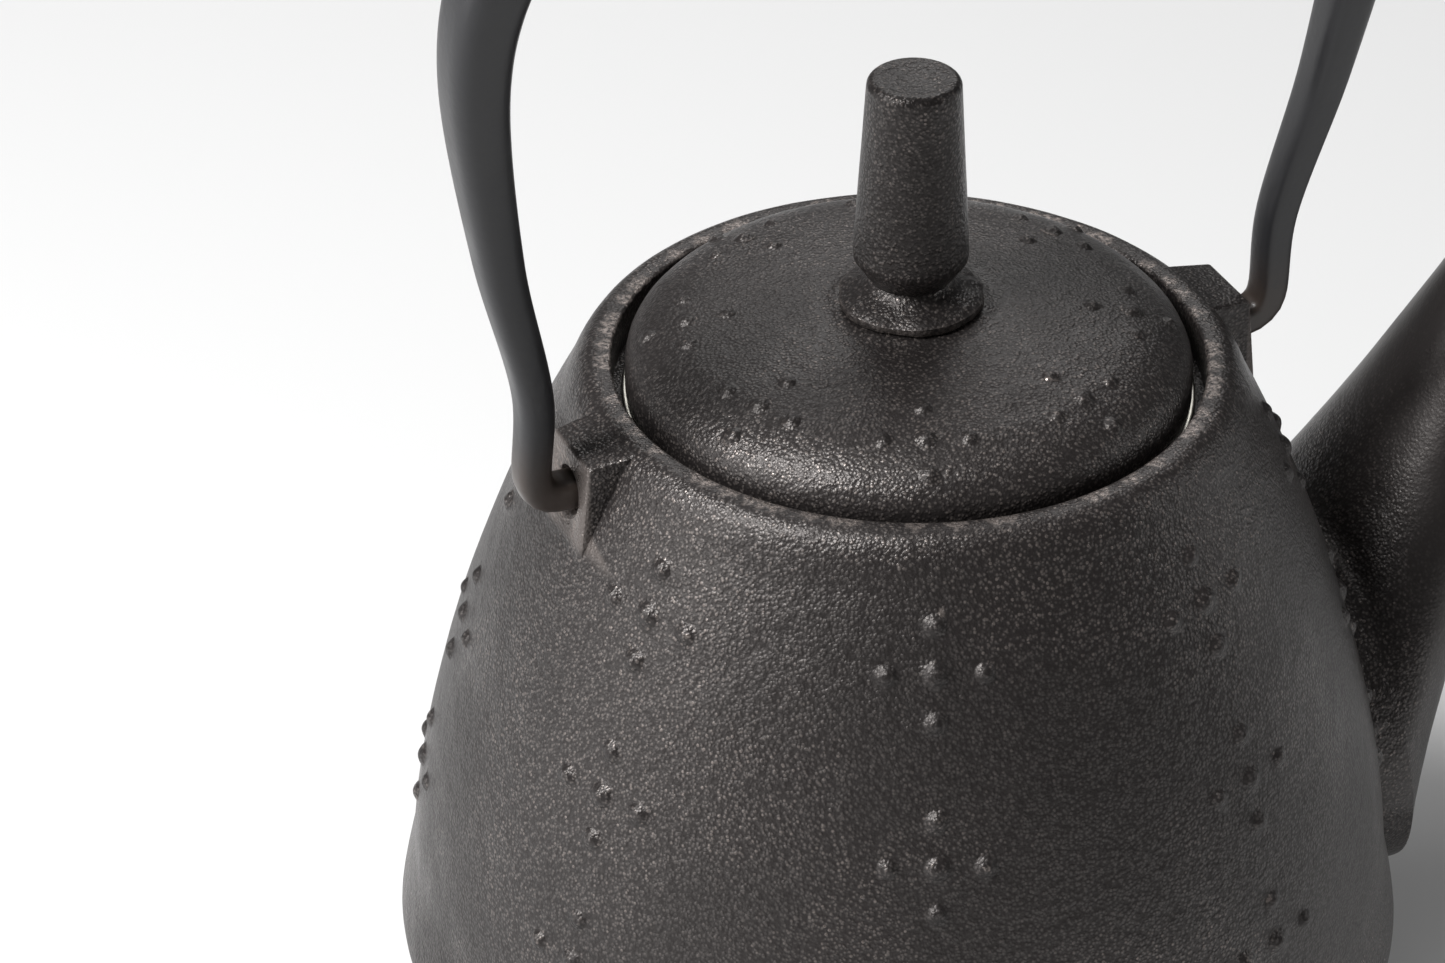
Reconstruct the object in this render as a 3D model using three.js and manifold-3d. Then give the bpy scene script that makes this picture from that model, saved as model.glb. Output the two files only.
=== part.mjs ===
// Cast iron teapot with a bail handle, a domed lid and a lift-out steel strainer.
// Millimetres, +Z up. The origin is the centre of the flat base, on the surface it stands on.
// The spout points along +X, and the handle's pivots lie on the X axis of the pot, at both lugs.

import * as THREE from 'three';
import { mergeVertices } from 'three/addons/utils/BufferGeometryUtils.js';
import Module from 'manifold-3d';

const wasm = await Module();
wasm.setup();

// ---------------------------------------------------------------- driving dimensions

const GAP = 0.3;                 // clearance between pieces that rest on each other
const ROUND_SEGMENTS = 48;       // facets round the pot, lid and strainer
const SMALL_SEGMENTS = 32;       // facets round the knob, screw and washer

const POT = {
  rimHeight: 120,                // the rim's flat top above the table
  rimRadius: 42,                 // outer edge of the rim's flat top
  mouthRadius: 40,               // opening that the lid drops into
  bellyRadius: 70.9,             // widest part of the body
  bellyHeight: 30.2,             // height of the widest part
  baseRadius: 46,                // flat base
  partingHeight: 41.9,           // where the mould halves met: the belly bulges out softly below
  partingRadius: 68.8,
  shoulderRadius: 46.9,          // body just under the rounded rim
  shoulderHeight: 113.7,
  wall: 3.6,
  floor: 5,
  ledgeHeight: 114.5,            // seat inside the mouth for the strainer's flange
  ledgeRadius: 36.5,
  ledgeDrop: 3.5,                // height of the ledge's inner edge, above the sloping underside
  hollowFloorRadius: 42,
  hollowShoulder: [43, 108],     // [radius, height] where the hollow turns in under the ledge
};

// Cubic curves in the body's outline. Their pulls are [radius, height].
const BODY_CURVES = {
  belly: { pulls: [[55.9, 0.6], [70.9, 25.4]], steps: 8 },      // from the base to the widest part
  bulge: { pulls: [[70.9, 32.7], [69, 39.9]], steps: 4 },       // from there to the parting
  flank: { pulls: [[67.1, 64.1], [57.9, 93]], steps: 12 },      // from the parting to the shoulder
  rim: { pulls: [[45.9, 116], [44.6, 120]], steps: 4 },         // from there to the rim's flat top
  hollowBelly: { pulls: [[53, 5.5], [67.3, 24]], steps: 6 },    // inside, from the floor upwards
  hollowFlank: { pulls: [[64.8, 56], [57, 82]], steps: 10 },    // inside, up to the shoulder
};

const SPOUT = {
  upper: [[62.6, 73.5], [80.4, 98], [96.9, 122.8]],   // top edge seen from the side, as [x, z]
  lower: [[72.5, 18.5], [76.6, 34.2], [109.5, 116.5]],  // bottom edge, also one quadratic curve
  halfWidths: [28.2, 16.9, 8.6],                      // across the spout, along the same curve
  wall: [3.6, 3.2, 2.7],
  rootInset: 14,                 // how far the root is sunk into the body
  rootFlare: 1.22,               // how much wider the sunk root is, so that it blends in
  mouthRun: [1, 2],              // the hollow runs on past the tip by this much, as [x, z]
  steps: 10,
  sides: 24,
};

const LUG = {
  reach: 49.6,                   // top of the outer face, from the pot's axis
  footReach: 51.2,               // foot of the outer face, which leans out a little
  topHeight: 118.6,              // straight top edge of that face
  width: 11.4,
  edge: 0.7,                     // small chamfer between the outer face and the top
  root: 42,                      // buried inner edge, from the pot's axis
  rootHeight: 119.6,             // the top slopes up to here
  footHeight: 104,               // buried bottom edge
  holeRadius: 3.2,
  holeDepth: 6,
  holeRun: 2,                    // the hole's cutter starts this far outside the face
  holeSides: 20,
};

const HANDLE = {
  pivotHeight: 112.6,
  lean: THREE.MathUtils.degToRad(4.7),   // at rest the bail leans a little to -Y
  pinEnd: 44.2,                  // inner end of each pin, from the pot's axis
  bendRadius: 3.8,
  foot: 55.4,                    // the arm just above its bend
  waist: [55.4, 16],             // narrowest place of the arms, as [x, height above the pivot]
  flare: [60.6, 39.5],
  archHalfWidth: 64.1,           // widest place, where the arch begins
  archBase: 67,
  archRise: 44,
  archPower: 2.4,                // superellipse: flatter on top than an ellipse
  archAngles: [0, 12, 24, 38, 54, 72, 90],
  bendAngles: [-60, -30, 0],
  hookThickness: 4.8,
  gripThickness: 12,
  gripWidthRatio: 1.15,          // across the arch against in its plane
  swell: [0.08, 0.9],            // the bar thickens between these fractions of the way to the crown
  sectionPower: 3,               // superellipse section: a square with round corners
  sectionSides: 16,
  steps: 64,
};

const LID = {
  radius: 38.2,
  bottom: 115.9,
  sideTop: 119.4,                // the straight side ends and the shoulder begins
  domeShoulder: [30, 126.2],     // [radius, height] where the shoulder meets the flat dome
  shoulderCurve: { pulls: [[37.9, 122.6], [35.4, 124.6]], steps: 6 },   // side to shoulder
  domeCurve: { pulls: [[24, 127.4], [18, 128]], steps: 4 },             // shoulder to boss
  domeTop: 128.2,
  seatHeight: 128.6,             // flat boss under the knob
  seatRadius: 10.4,
  skin: 3.6,
  undersideRadii: [33.2, 28, 12],                  // the hollow's edge, its bend and its flat top
  undersideHeights: [120, 122.6],                  // at the first two of those radii
  skirtOuter: 31.6,              // locating ring that hangs into the strainer
  skirtInner: 29.4,
  skirtBottom: 110,
  skirtTop: 123,                 // buried in the dome
  holeRadius: 2.7,
};

const KNOB = {
  footRadius: 9.8,
  neckRadius: 5.5,
  neckHeight: 131.9,
  wideRadius: 7.8,
  wideHeight: 136.2,
  topRadius: 6.3,
  topHeight: 162.7,
  footEdge: 0.9,                 // upright edge of the foot
  footCurve: { pulls: [[7.4, 130.3], [6, 130.8]], steps: 4 },   // foot to neck
  topEdge: 1.2,                  // rounding of the top edge
  topBevel: [0.4, 0.3],          // middle of that rounding, in from the side and down from the top
  holeTop: 143,
};

const SCREW = {
  shankRadius: 2.4,
  shankTop: 142,
  shankChamfer: 0.6,
  headRadius: 4.6,
  headHeight: 3,
  headChamfer: 0.8,
  socketRadius: 1.6,
  socketDepth: 2,
  socketSides: 6,
};
const WASHER = { radius: 6.4, thickness: 1.2 };

const STRAINER = {
  flangeRadius: 38.7,
  flangeThickness: 0.8,
  collarOuter: 34.2,
  collarInner: 33.4,
  collarBottom: 108.6,
  wallOuter: 33.1,
  wallInner: 32.6,
  bottom: 59.5,
  bandHeight: 6,
  bandLip: 30.4,                 // inner edge of the lip that carries the floor
  sheet: 0.6,
};

// ---------------------------------------------------------------- materials

const castIron = new THREE.MeshStandardMaterial({ color: 0x2b2726, roughness: 0.62, metalness: 0.55 });
const blackEnamel = new THREE.MeshStandardMaterial({ color: 0x1d1e20, roughness: 0.38, metalness: 0.1 });
const stainless = new THREE.MeshStandardMaterial({ color: 0xb9b7ae, roughness: 0.28, metalness: 1 });
const fixingSteel = new THREE.MeshStandardMaterial({ color: 0x6a6763, roughness: 0.4, metalness: 1 });

// ---------------------------------------------------------------- helpers

/** A closed three.js geometry as a manifold solid, with its shared vertices merged. */
function toSolid(geometry) {
  const bare = geometry.clone();
  bare.deleteAttribute('normal');
  bare.deleteAttribute('uv');
  const merged = mergeVertices(bare, 1e-4);
  const index = merged.index.array;
  const corners = [];
  for (let i = 0; i < index.length; i += 3) {
    const [a, b, c] = [index[i], index[i + 1], index[i + 2]];
    if (a !== b && b !== c && c !== a) corners.push(a, b, c);
  }
  return new wasm.Manifold(new wasm.Mesh({
    numProp: 3,
    vertProperties: new Float32Array(merged.attributes.position.array),
    triVerts: new Uint32Array(corners),
  }));
}

/** A manifold solid as a named three.js mesh. */
function toMesh(name, solid, material) {
  const { vertProperties, triVerts } = solid.getMesh();
  const geometry = new THREE.BufferGeometry();
  geometry.setAttribute('position', new THREE.BufferAttribute(new Float32Array(vertProperties), 3));
  geometry.setIndex(new THREE.BufferAttribute(new Uint32Array(triVerts), 1));
  geometry.computeVertexNormals();
  const mesh = new THREE.Mesh(geometry, material);
  mesh.name = name;
  return mesh;
}

/** A solid turned about Z from an outline of [radius, height] points, listed from the bottom up. */
function turned(points, segments) {
  const outline = points.map(([radius, height]) => new THREE.Vector2(radius, height));
  const geometry = new THREE.LatheGeometry(outline, segments);
  geometry.rotateX(Math.PI / 2);
  return toSolid(geometry);
}

/** A ring with a rectangular section, turned about Z. */
function ring(inner, outer, bottom, top, segments = ROUND_SEGMENTS) {
  return turned([[inner, bottom], [outer, bottom], [outer, top], [inner, top], [inner, bottom]], segments);
}

/** A disc or rod standing on Z. */
function disc(radius, bottom, top, segments = ROUND_SEGMENTS) {
  return turned([[0, bottom], [radius, bottom], [radius, top], [0, top]], segments);
}

/** Points [radius, height] along a cubic curve, without its first point. */
function curvePoints(start, { pulls, steps }, end) {
  const corners = [start, ...pulls, end].map(([radius, height]) => new THREE.Vector2(radius, height));
  const curve = new THREE.CubicBezierCurve(...corners);
  return curve.getPoints(steps).slice(1).map((point) => [point.x, point.y]);
}

/** A closed solid through rings of equal point counts, capped flat at both ends. */
function loft(rings) {
  const sides = rings[0].length;
  const positions = rings.flat().flatMap((p) => [p.x, p.y, p.z]);
  const faces = [];
  for (let row = 0; row < rings.length - 1; row += 1) {
    for (let side = 0; side < sides; side += 1) {
      const a = row * sides + side;
      const b = row * sides + (side + 1) % sides;
      faces.push(a, b, b + sides, a, b + sides, a + sides);
    }
  }
  const last = (rings.length - 1) * sides;
  for (let side = 1; side < sides - 1; side += 1) {
    faces.push(0, side + 1, side);
    faces.push(last, last + side, last + side + 1);
  }
  const geometry = new THREE.BufferGeometry();
  geometry.setAttribute('position', new THREE.Float32BufferAttribute(positions, 3));
  geometry.setIndex(faces);
  return toSolid(geometry);
}

// ---------------------------------------------------------------- pot body

/** Outside of the body: flat base, round belly, soft parting, long flank, rounded rim. */
function bodyOutside() {
  const belly = [POT.bellyRadius, POT.bellyHeight];
  const parting = [POT.partingRadius, POT.partingHeight];
  const shoulder = [POT.shoulderRadius, POT.shoulderHeight];
  return [
    [0, 0],
    [POT.baseRadius, 0],
    ...curvePoints([POT.baseRadius, 0], BODY_CURVES.belly, belly),
    ...curvePoints(belly, BODY_CURVES.bulge, parting),
    ...curvePoints(parting, BODY_CURVES.flank, shoulder),
    ...curvePoints(shoulder, BODY_CURVES.rim, [POT.rimRadius, POT.rimHeight]),
    [0, POT.rimHeight],
  ];
}

/** The hollow: follows the outside at one wall's distance, then the strainer's ledge and the mouth. */
function bodyHollow() {
  const { floor, ledgeRadius, ledgeHeight, mouthRadius, hollowShoulder } = POT;
  const belly = [POT.bellyRadius - POT.wall, POT.bellyHeight];
  const floorEdge = [POT.hollowFloorRadius, floor];
  const aboveRim = POT.rimHeight + 1;
  return [
    [0, floor],
    floorEdge,
    ...curvePoints(floorEdge, BODY_CURVES.hollowBelly, belly),
    ...curvePoints(belly, BODY_CURVES.hollowFlank, hollowShoulder),
    [ledgeRadius, ledgeHeight - POT.ledgeDrop],
    [ledgeRadius, ledgeHeight],
    [mouthRadius, ledgeHeight],
    [mouthRadius, aboveRim],
    [0, aboveRim],
  ];
}

/** The value of a quadratic curve with three numbers, at t from 0 to 1. */
function quadratic([start, pull, end], t) {
  return (1 - t) ** 2 * start + 2 * t * (1 - t) * pull + t ** 2 * end;
}

/** One oval ring of the spout between its upper and lower edges, shrunk by inset and moved along X and Z. */
function spoutRing(t, inset, widen, moveX, moveZ) {
  const [upperX, upperZ, lowerX, lowerZ] = [SPOUT.upper, SPOUT.lower]
    .flatMap((edge) => [0, 1].map((axis) => quadratic(edge.map((point) => point[axis]), t)));
  const upper = new THREE.Vector3(upperX + moveX, 0, upperZ + moveZ);
  const lower = new THREE.Vector3(lowerX + moveX, 0, lowerZ + moveZ);
  const centre = upper.clone().add(lower).multiplyScalar(0.5);
  const halfHeight = upper.distanceTo(lower) / 2;
  const rise = upper.clone().sub(centre).normalize();
  const halfWidth = (quadratic(SPOUT.halfWidths, t) - inset) * widen;
  return Array.from({ length: SPOUT.sides }, (_, i) => {
    const turn = (i / SPOUT.sides) * 2 * Math.PI;
    return centre.clone()
      .addScaledVector(rise, (halfHeight - inset) * Math.cos(turn))
      .add(new THREE.Vector3(0, -halfWidth * Math.sin(turn), 0));
  });
}

/** The spout as a solid horn, or its hollow when walls are taken off and it runs past the tip. */
function horn(hollow) {
  const inset = (t) => (hollow ? quadratic(SPOUT.wall, t) : 0);
  const rings = [spoutRing(0, inset(0), hollow ? 1 : SPOUT.rootFlare, -SPOUT.rootInset, 0)];
  for (let i = 0; i <= SPOUT.steps; i += 1) {
    rings.push(spoutRing(i / SPOUT.steps, inset(i / SPOUT.steps), 1, 0, 0));
  }
  if (hollow) rings.push(spoutRing(1, inset(1), 1, ...SPOUT.mouthRun));
  return loft(rings);
}

/** A wedge on the shoulder: steep outer face, top sloping back, side edges running into the body. */
function lug(side) {
  const profile = new THREE.Shape([
    new THREE.Vector2(LUG.root, LUG.rootHeight),
    new THREE.Vector2(LUG.root, LUG.footHeight),
    new THREE.Vector2(LUG.footReach, LUG.footHeight),
    new THREE.Vector2(LUG.reach, LUG.topHeight - LUG.edge),
    new THREE.Vector2(LUG.reach - LUG.edge, LUG.topHeight),
  ]);
  const geometry = new THREE.ExtrudeGeometry(profile, { depth: LUG.width, bevelEnabled: false });
  geometry.translate(0, 0, -LUG.width / 2);
  geometry.rotateX(Math.PI / 2);
  if (side < 0) geometry.rotateZ(Math.PI);
  return toSolid(geometry);
}

/** Blind hole in a lug for the handle's pin. */
function lugHole(side) {
  const { reach, holeRadius, holeDepth, holeRun, holeSides } = LUG;
  const length = holeDepth + holeRun;
  const geometry = new THREE.CylinderGeometry(holeRadius, holeRadius, length, holeSides);
  geometry.rotateZ(Math.PI / 2);
  geometry.translate(side * (reach + holeRun - length / 2), 0, HANDLE.pivotHeight);
  return toSolid(geometry);
}

function makePotBody() {
  let body = turned(bodyOutside(), ROUND_SEGMENTS);
  body = body.add(horn(false));
  for (const side of [-1, 1]) body = body.add(lug(side));
  body = body.subtract(turned(bodyHollow(), ROUND_SEGMENTS));
  body = body.subtract(horn(true));
  for (const side of [-1, 1]) body = body.subtract(lugHole(side));
  return toMesh('pot_body', body, castIron);
}

// ---------------------------------------------------------------- handle

/** Half of the bail's centre line from the pin's inner end to the arch's crown, in the XZ plane. */
function handleHalfPath() {
  const { bendRadius, foot, waist, flare, archHalfWidth, archBase, archRise, archPower } = HANDLE;
  const points = [[HANDLE.pinEnd, 0], [foot - bendRadius, 0]];
  for (const degrees of HANDLE.bendAngles) {
    const turn = THREE.MathUtils.degToRad(degrees);
    points.push([foot - bendRadius + bendRadius * Math.cos(turn), bendRadius + bendRadius * Math.sin(turn)]);
  }
  points.push(waist, flare);
  for (const degrees of HANDLE.archAngles) {
    const turn = THREE.MathUtils.degToRad(degrees);
    points.push([
      archHalfWidth * Math.max(Math.cos(turn), 0) ** (2 / archPower),
      archBase + archRise * Math.sin(turn) ** (2 / archPower),
    ]);
  }
  return points;
}

/** Thickness of the bar: thin at the hooks, swelling smoothly to the grip at the crown. */
function barThickness(fractionToCrown) {
  const swell = THREE.MathUtils.smoothstep(fractionToCrown, ...HANDLE.swell);
  return HANDLE.hookThickness + (HANDLE.gripThickness - HANDLE.hookThickness) * swell;
}

/** One ring of the bar: a square with round corners, square to its path in the XZ plane. */
function barRing(centre, direction, halfThickness, halfWidth) {
  const across = new THREE.Vector3(direction.z, 0, -direction.x);
  const sideways = new THREE.Vector3(0, 1, 0);
  const bulge = (value) => Math.sign(value) * Math.abs(value) ** (2 / HANDLE.sectionPower);
  return Array.from({ length: HANDLE.sectionSides }, (_, i) => {
    const turn = (i / HANDLE.sectionSides) * 2 * Math.PI;
    return centre.clone()
      .addScaledVector(across, halfThickness * bulge(Math.cos(turn)))
      .addScaledVector(sideways, halfWidth * bulge(Math.sin(turn)));
  });
}

function makeHandle() {
  const half = handleHalfPath();
  const whole = [...half, ...half.slice(0, -1).reverse().map(([x, height]) => [-x, height])];
  const path = new THREE.CatmullRomCurve3(whole.map(([x, height]) => new THREE.Vector3(x, 0, height)));
  const rings = [];
  for (let i = 0; i <= HANDLE.steps; i += 1) {
    const t = i / HANDLE.steps;
    const toCrown = 1 - Math.abs(2 * t - 1);
    const halfThickness = barThickness(toCrown) / 2;
    const halfWidth = halfThickness * (1 + (HANDLE.gripWidthRatio - 1) * toCrown);
    rings.push(barRing(path.getPointAt(t), path.getTangentAt(t), halfThickness, halfWidth));
  }
  const mesh = toMesh('handle', loft(rings), blackEnamel);
  mesh.position.z = HANDLE.pivotHeight;
  mesh.rotation.x = HANDLE.lean;
  return mesh;
}

// ---------------------------------------------------------------- lid and knob

const LID_UNDERSIDE = LID.seatHeight - LID.skin;

function makeLid() {
  const { radius, bottom, sideTop, domeShoulder, domeTop, seatHeight, seatRadius } = LID;
  const outside = turned([
    [0, bottom],
    [radius, bottom],
    [radius, sideTop],
    ...curvePoints([radius, sideTop], LID.shoulderCurve, domeShoulder),
    ...curvePoints(domeShoulder, LID.domeCurve, [seatRadius, domeTop]),
    [seatRadius, seatHeight],
    [0, seatHeight],
  ], ROUND_SEGMENTS);
  const [edgeRadius, bendRadius, flatRadius] = LID.undersideRadii;
  const [edgeHeight, bendHeight] = LID.undersideHeights;
  const hollow = turned([
    [0, bottom - 1],
    [edgeRadius, bottom - 1],
    [edgeRadius, edgeHeight],
    [bendRadius, bendHeight],
    [flatRadius, LID_UNDERSIDE],
    [0, LID_UNDERSIDE],
  ], ROUND_SEGMENTS);
  const skirt = ring(LID.skirtInner, LID.skirtOuter, LID.skirtBottom, LID.skirtTop);
  const hole = disc(LID.holeRadius, LID.skirtBottom, seatHeight + 1, SMALL_SEGMENTS);
  return toMesh('lid', outside.subtract(hollow).add(skirt).subtract(hole), castIron);
}

function makeKnob() {
  const bottom = LID.seatHeight + GAP;
  const footTop = [KNOB.footRadius, bottom + KNOB.footEdge];
  const [bevelIn, bevelDown] = KNOB.topBevel;
  const body = turned([
    [0, bottom],
    [KNOB.footRadius, bottom],
    footTop,
    ...curvePoints(footTop, KNOB.footCurve, [KNOB.neckRadius, KNOB.neckHeight]),
    [KNOB.wideRadius, KNOB.wideHeight],
    [KNOB.topRadius, KNOB.topHeight - KNOB.topEdge],
    [KNOB.topRadius - bevelIn, KNOB.topHeight - bevelDown],
    [KNOB.topRadius - KNOB.topEdge, KNOB.topHeight],
    [0, KNOB.topHeight],
  ], SMALL_SEGMENTS);
  const hole = disc(LID.holeRadius, bottom - 1, KNOB.holeTop, SMALL_SEGMENTS);
  return toMesh('knob', body.subtract(hole), castIron);
}

function makeKnobWasher() {
  const top = LID_UNDERSIDE - GAP;
  const solid = ring(LID.holeRadius, WASHER.radius, top - WASHER.thickness, top, SMALL_SEGMENTS);
  return toMesh('knob_washer', solid, fixingSteel);
}

function makeKnobScrew() {
  const headTop = LID_UNDERSIDE - GAP - WASHER.thickness - GAP;
  const headBottom = headTop - SCREW.headHeight;
  const screw = turned([
    [0, headBottom],
    [SCREW.headRadius - SCREW.headChamfer, headBottom],
    [SCREW.headRadius, headBottom + SCREW.headChamfer],
    [SCREW.headRadius, headTop],
    [SCREW.shankRadius, headTop],
    [SCREW.shankRadius, SCREW.shankTop - SCREW.shankChamfer],
    [SCREW.shankRadius - SCREW.shankChamfer, SCREW.shankTop],
    [0, SCREW.shankTop],
  ], SMALL_SEGMENTS);
  const { socketRadius, socketDepth, socketSides } = SCREW;
  const socket = new THREE.CylinderGeometry(socketRadius, socketRadius, 2 * socketDepth, socketSides);
  socket.rotateX(Math.PI / 2);
  socket.translate(0, 0, headBottom);
  return toMesh('knob_screw', screw.subtract(toSolid(socket)), fixingSteel);
}

// ---------------------------------------------------------------- strainer

const FLANGE_BOTTOM = POT.ledgeHeight + GAP;

function makeStrainerRim() {
  const { flangeRadius, flangeThickness, collarOuter, collarInner, collarBottom } = STRAINER;
  const top = FLANGE_BOTTOM + flangeThickness;
  return toMesh('strainer_rim', turned([
    [collarInner, collarBottom],
    [collarOuter, collarBottom],
    [collarOuter, FLANGE_BOTTOM],
    [flangeRadius, FLANGE_BOTTOM],
    [flangeRadius, top],
    [collarInner, top],
    [collarInner, collarBottom],
  ], ROUND_SEGMENTS), stainless);
}

function makeStrainerWall() {
  const { wallInner, wallOuter } = STRAINER;
  const bottom = STRAINER.bottom + 2 * STRAINER.sheet + 2 * GAP;
  return toMesh('strainer_wall', ring(wallInner, wallOuter, bottom, FLANGE_BOTTOM), stainless);
}

function makeStrainerFloor() {
  const bottom = STRAINER.bottom + STRAINER.sheet + GAP;
  return toMesh('strainer_floor', disc(STRAINER.wallOuter, bottom, bottom + STRAINER.sheet), stainless);
}

function makeStrainerBand() {
  const { bottom, sheet, bandLip, bandHeight } = STRAINER;
  const inner = STRAINER.wallOuter + GAP;
  return toMesh('strainer_band', turned([
    [bandLip, bottom],
    [inner + sheet, bottom],
    [inner + sheet, bottom + bandHeight],
    [inner, bottom + bandHeight],
    [inner, bottom + sheet],
    [bandLip, bottom + sheet],
    [bandLip, bottom],
  ], ROUND_SEGMENTS), stainless);
}

// ---------------------------------------------------------------- assembly

const teapot = new THREE.Group();
teapot.add(
  makePotBody(),
  makeHandle(),
  makeLid(),
  makeKnob(),
  makeKnobWasher(),
  makeKnobScrew(),
  makeStrainerRim(),
  makeStrainerWall(),
  makeStrainerFloor(),
  makeStrainerBand(),
);

export default teapot;
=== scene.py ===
"""Cast iron teapot: the finished look of its castings, its bail handle and its steel strainer.

Outlines are written in millimetres, as the pot's maker would draw them, and scaled by MM.
+Z is up, the spout points along +X, and the origin is the centre of the flat base.
"""

import functools
import math

import bpy
import numpy as np
from mathutils import Matrix, Vector, noise


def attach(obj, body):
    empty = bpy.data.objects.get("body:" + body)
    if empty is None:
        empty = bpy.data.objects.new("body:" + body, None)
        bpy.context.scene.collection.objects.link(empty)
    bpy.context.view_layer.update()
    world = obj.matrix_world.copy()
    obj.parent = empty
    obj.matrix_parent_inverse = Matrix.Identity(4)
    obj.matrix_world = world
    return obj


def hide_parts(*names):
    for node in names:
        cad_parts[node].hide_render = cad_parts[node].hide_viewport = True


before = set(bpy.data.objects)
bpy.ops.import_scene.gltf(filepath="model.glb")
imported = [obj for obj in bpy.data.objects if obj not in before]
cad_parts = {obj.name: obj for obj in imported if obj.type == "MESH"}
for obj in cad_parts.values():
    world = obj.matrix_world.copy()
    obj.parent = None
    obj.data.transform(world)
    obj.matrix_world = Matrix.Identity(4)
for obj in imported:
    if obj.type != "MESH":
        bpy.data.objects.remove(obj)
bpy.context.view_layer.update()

bl_info = {
    "name": "Cast Iron Teapot",
    "version": (1, 0, 0),
    "blender": (4, 5, 0),
    "location": "View3D > Sidebar > Teapot",
    "description": "Builds a cast iron teapot with a bail handle, a domed lid and a steel strainer",
    "category": "Add Mesh",
}

MM = 0.001

GAP = 0.3                        # clearance between pieces that rest on each other
SHARP_DEGREES = 50               # edges sharper than this are shaded as edges

POT = {
    "rim_height": 120,
    "rim_radius": 42,
    "mouth_radius": 40,
    "belly_radius": 70.9,
    "belly_height": 30.2,
    "base_radius": 46,
    "foot_recess": 1.2,          # the middle of the base is hollowed by this much
    "foot_inner": 38,            # inner edge of the ring it stands on
    "parting_height": 41.9,      # the belly bulges out softly below this
    "parting_radius": 68.8,
    "shoulder": (46.9, 113.7),
    "wall": 3.6,
    "floor": 5,
    "ledge_height": 114.5,
    "ledge_radius": 36.5,
    "ledge_drop": 3.5,
    "hollow_floor_radius": 42,
    "hollow_shoulder": (43, 108),
    "segments": 300,
}

# Pulls of the cubic curves in the body's outline, as (radius, height).
BODY_CURVES = {
    "belly": ((55.9, 0.6), (70.9, 25.4)),
    "bulge": ((70.9, 32.7), (69, 39.9)),
    "flank": ((67.1, 64.1), (57.9, 93)),
    "rim": ((45.9, 116), (44.6, 120)),
    "hollow_belly": ((53, 5.5), (67.3, 24)),
    "hollow_flank": ((64.8, 56), (57, 82)),
}

SPOUT = {
    "upper": ((62.6, 73.5), (80.4, 98), (96.9, 122.8)),
    "lower": ((72.5, 18.5), (76.6, 34.2), (109.5, 116.5)),
    "half_widths": (28.2, 16.9, 8.6),
    "wall": (3.6, 3.2, 2.7),
    "root_inset": 14,
    "fillet": 5,                 # radius of the soft corner between spout and body
    "tip_round": 0.9,            # rounding of the lip
    "lip_share": 0.012,          # the part of the spout's length that the rounding takes
    "mouth_run": (1, 2),
    "steps": 48,
    "hollow_steps": 25,
    "sides": 80,
}

LUG = {
    "reach": 49.6,
    "foot_reach": 51.2,          # the outer face leans out a little towards its foot
    "top_height": 118.6,
    "half_width": 5.7,
    "root": 42,
    "root_height": 119.7,
    "root_half_width": 6.3,      # the sides spread towards the pot
    "foot_height": 104,
    "edge": 0.5,
    "hole_radius": 3.2,
    "hole_depth": 6,
    "hole_chamfer": 0.5,
}

HANDLE = {
    "pivot_height": 112.6,
    "lean_degrees": 4.7,
    "pin_end": 44.2,
    "bend_radius": 3.8,
    "foot": 55.4,
    "waist": (55.4, 16),
    "flare": (60.6, 39.5),
    "arch_half_width": 64.1,
    "arch_base": 67,
    "arch_rise": 43.8,
    "arch_power": 2.4,
    "arch_angles": (0, 12, 24, 38, 54, 72, 90),
    "bend_angles": (-60, -30, 0),
    "hook_thickness": 4.8,
    "grip_thickness": 12,
    "grip_width_ratio": 1.15,
    "swell": (0.08, 0.9),
    "section_power": 3.4,
    "sides": 40,
    "steps": 260,
}

LID = {
    "radius": 38.2,
    "bottom": 115.9,
    "side_top": 119.4,
    "dome_shoulder": (30, 126.2),
    "shoulder_pulls": ((37.9, 122.6), (35.4, 124.6)),
    "dome_pulls": ((24, 127.4), (18, 128)),
    "dome_top": 128.2,
    "seat_height": 128.6,
    "seat_radius": 10.4,
    "skin": 3.6,
    "underside": ((33.2, 120), (28, 122.6), (12, 125)),
    "skirt_outer": 31.6,
    "skirt_inner": 29.4,
    "skirt_bottom": 110,
    "skirt_top": 123,
    "hole_radius": 2.7,
    "dot_radius_share": 0.82,    # the lid's dots are smaller than the body's
    "dot_height_share": 0.8,
    "segments": 240,
}

KNOB = {
    "foot_radius": 9.8,
    "foot_edge": 1.3,
    "foot_pulls": ((8.2, 130.9), (6.2, 131.3)),
    "foot_wander": 0.5,          # the foot's edge was ground by hand
    "neck": (5.5, 132.6),
    "wide": (7.8, 136.2),
    "top_radius": 6.3,
    "top_height": 162.7,
    "top_edge": 1.2,
    "top_dish": 0.35,            # the worn top is a little hollow
    "hole_top": 143,
    "segments": 128,
}

SCREW = {
    "shank_radius": 2.4,
    "shank_top": 142,
    "head_radius": 4.6,
    "head_height": 3,
    "chamfer": 0.8,
    "socket_radius": 1.6,
    "socket_depth": 2,
}
WASHER = {"radius": 6.4, "thickness": 1.2, "edge": 0.2}
FIXING_SEGMENTS = 96

STRAINER = {
    "flange_radius": 38.7,
    "flange_thickness": 0.8,
    "collar_outer": 34.2,
    "collar_inner": 33.4,
    "collar_bottom": 108.6,
    "wall_outer": 33.1,
    "wall_inner": 32.6,
    "bottom": 59.5,
    "band_height": 6,
    "band_lip": 30.4,
    "sheet": 0.6,
    "margin": 1.6,               # plain sheet between the holes and the band
    "floor_columns": 26,
    "floor_rows": 29,
    "drill_length": 3,
    "segments": 200,
    "floor_segments": 180,
}

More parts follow.
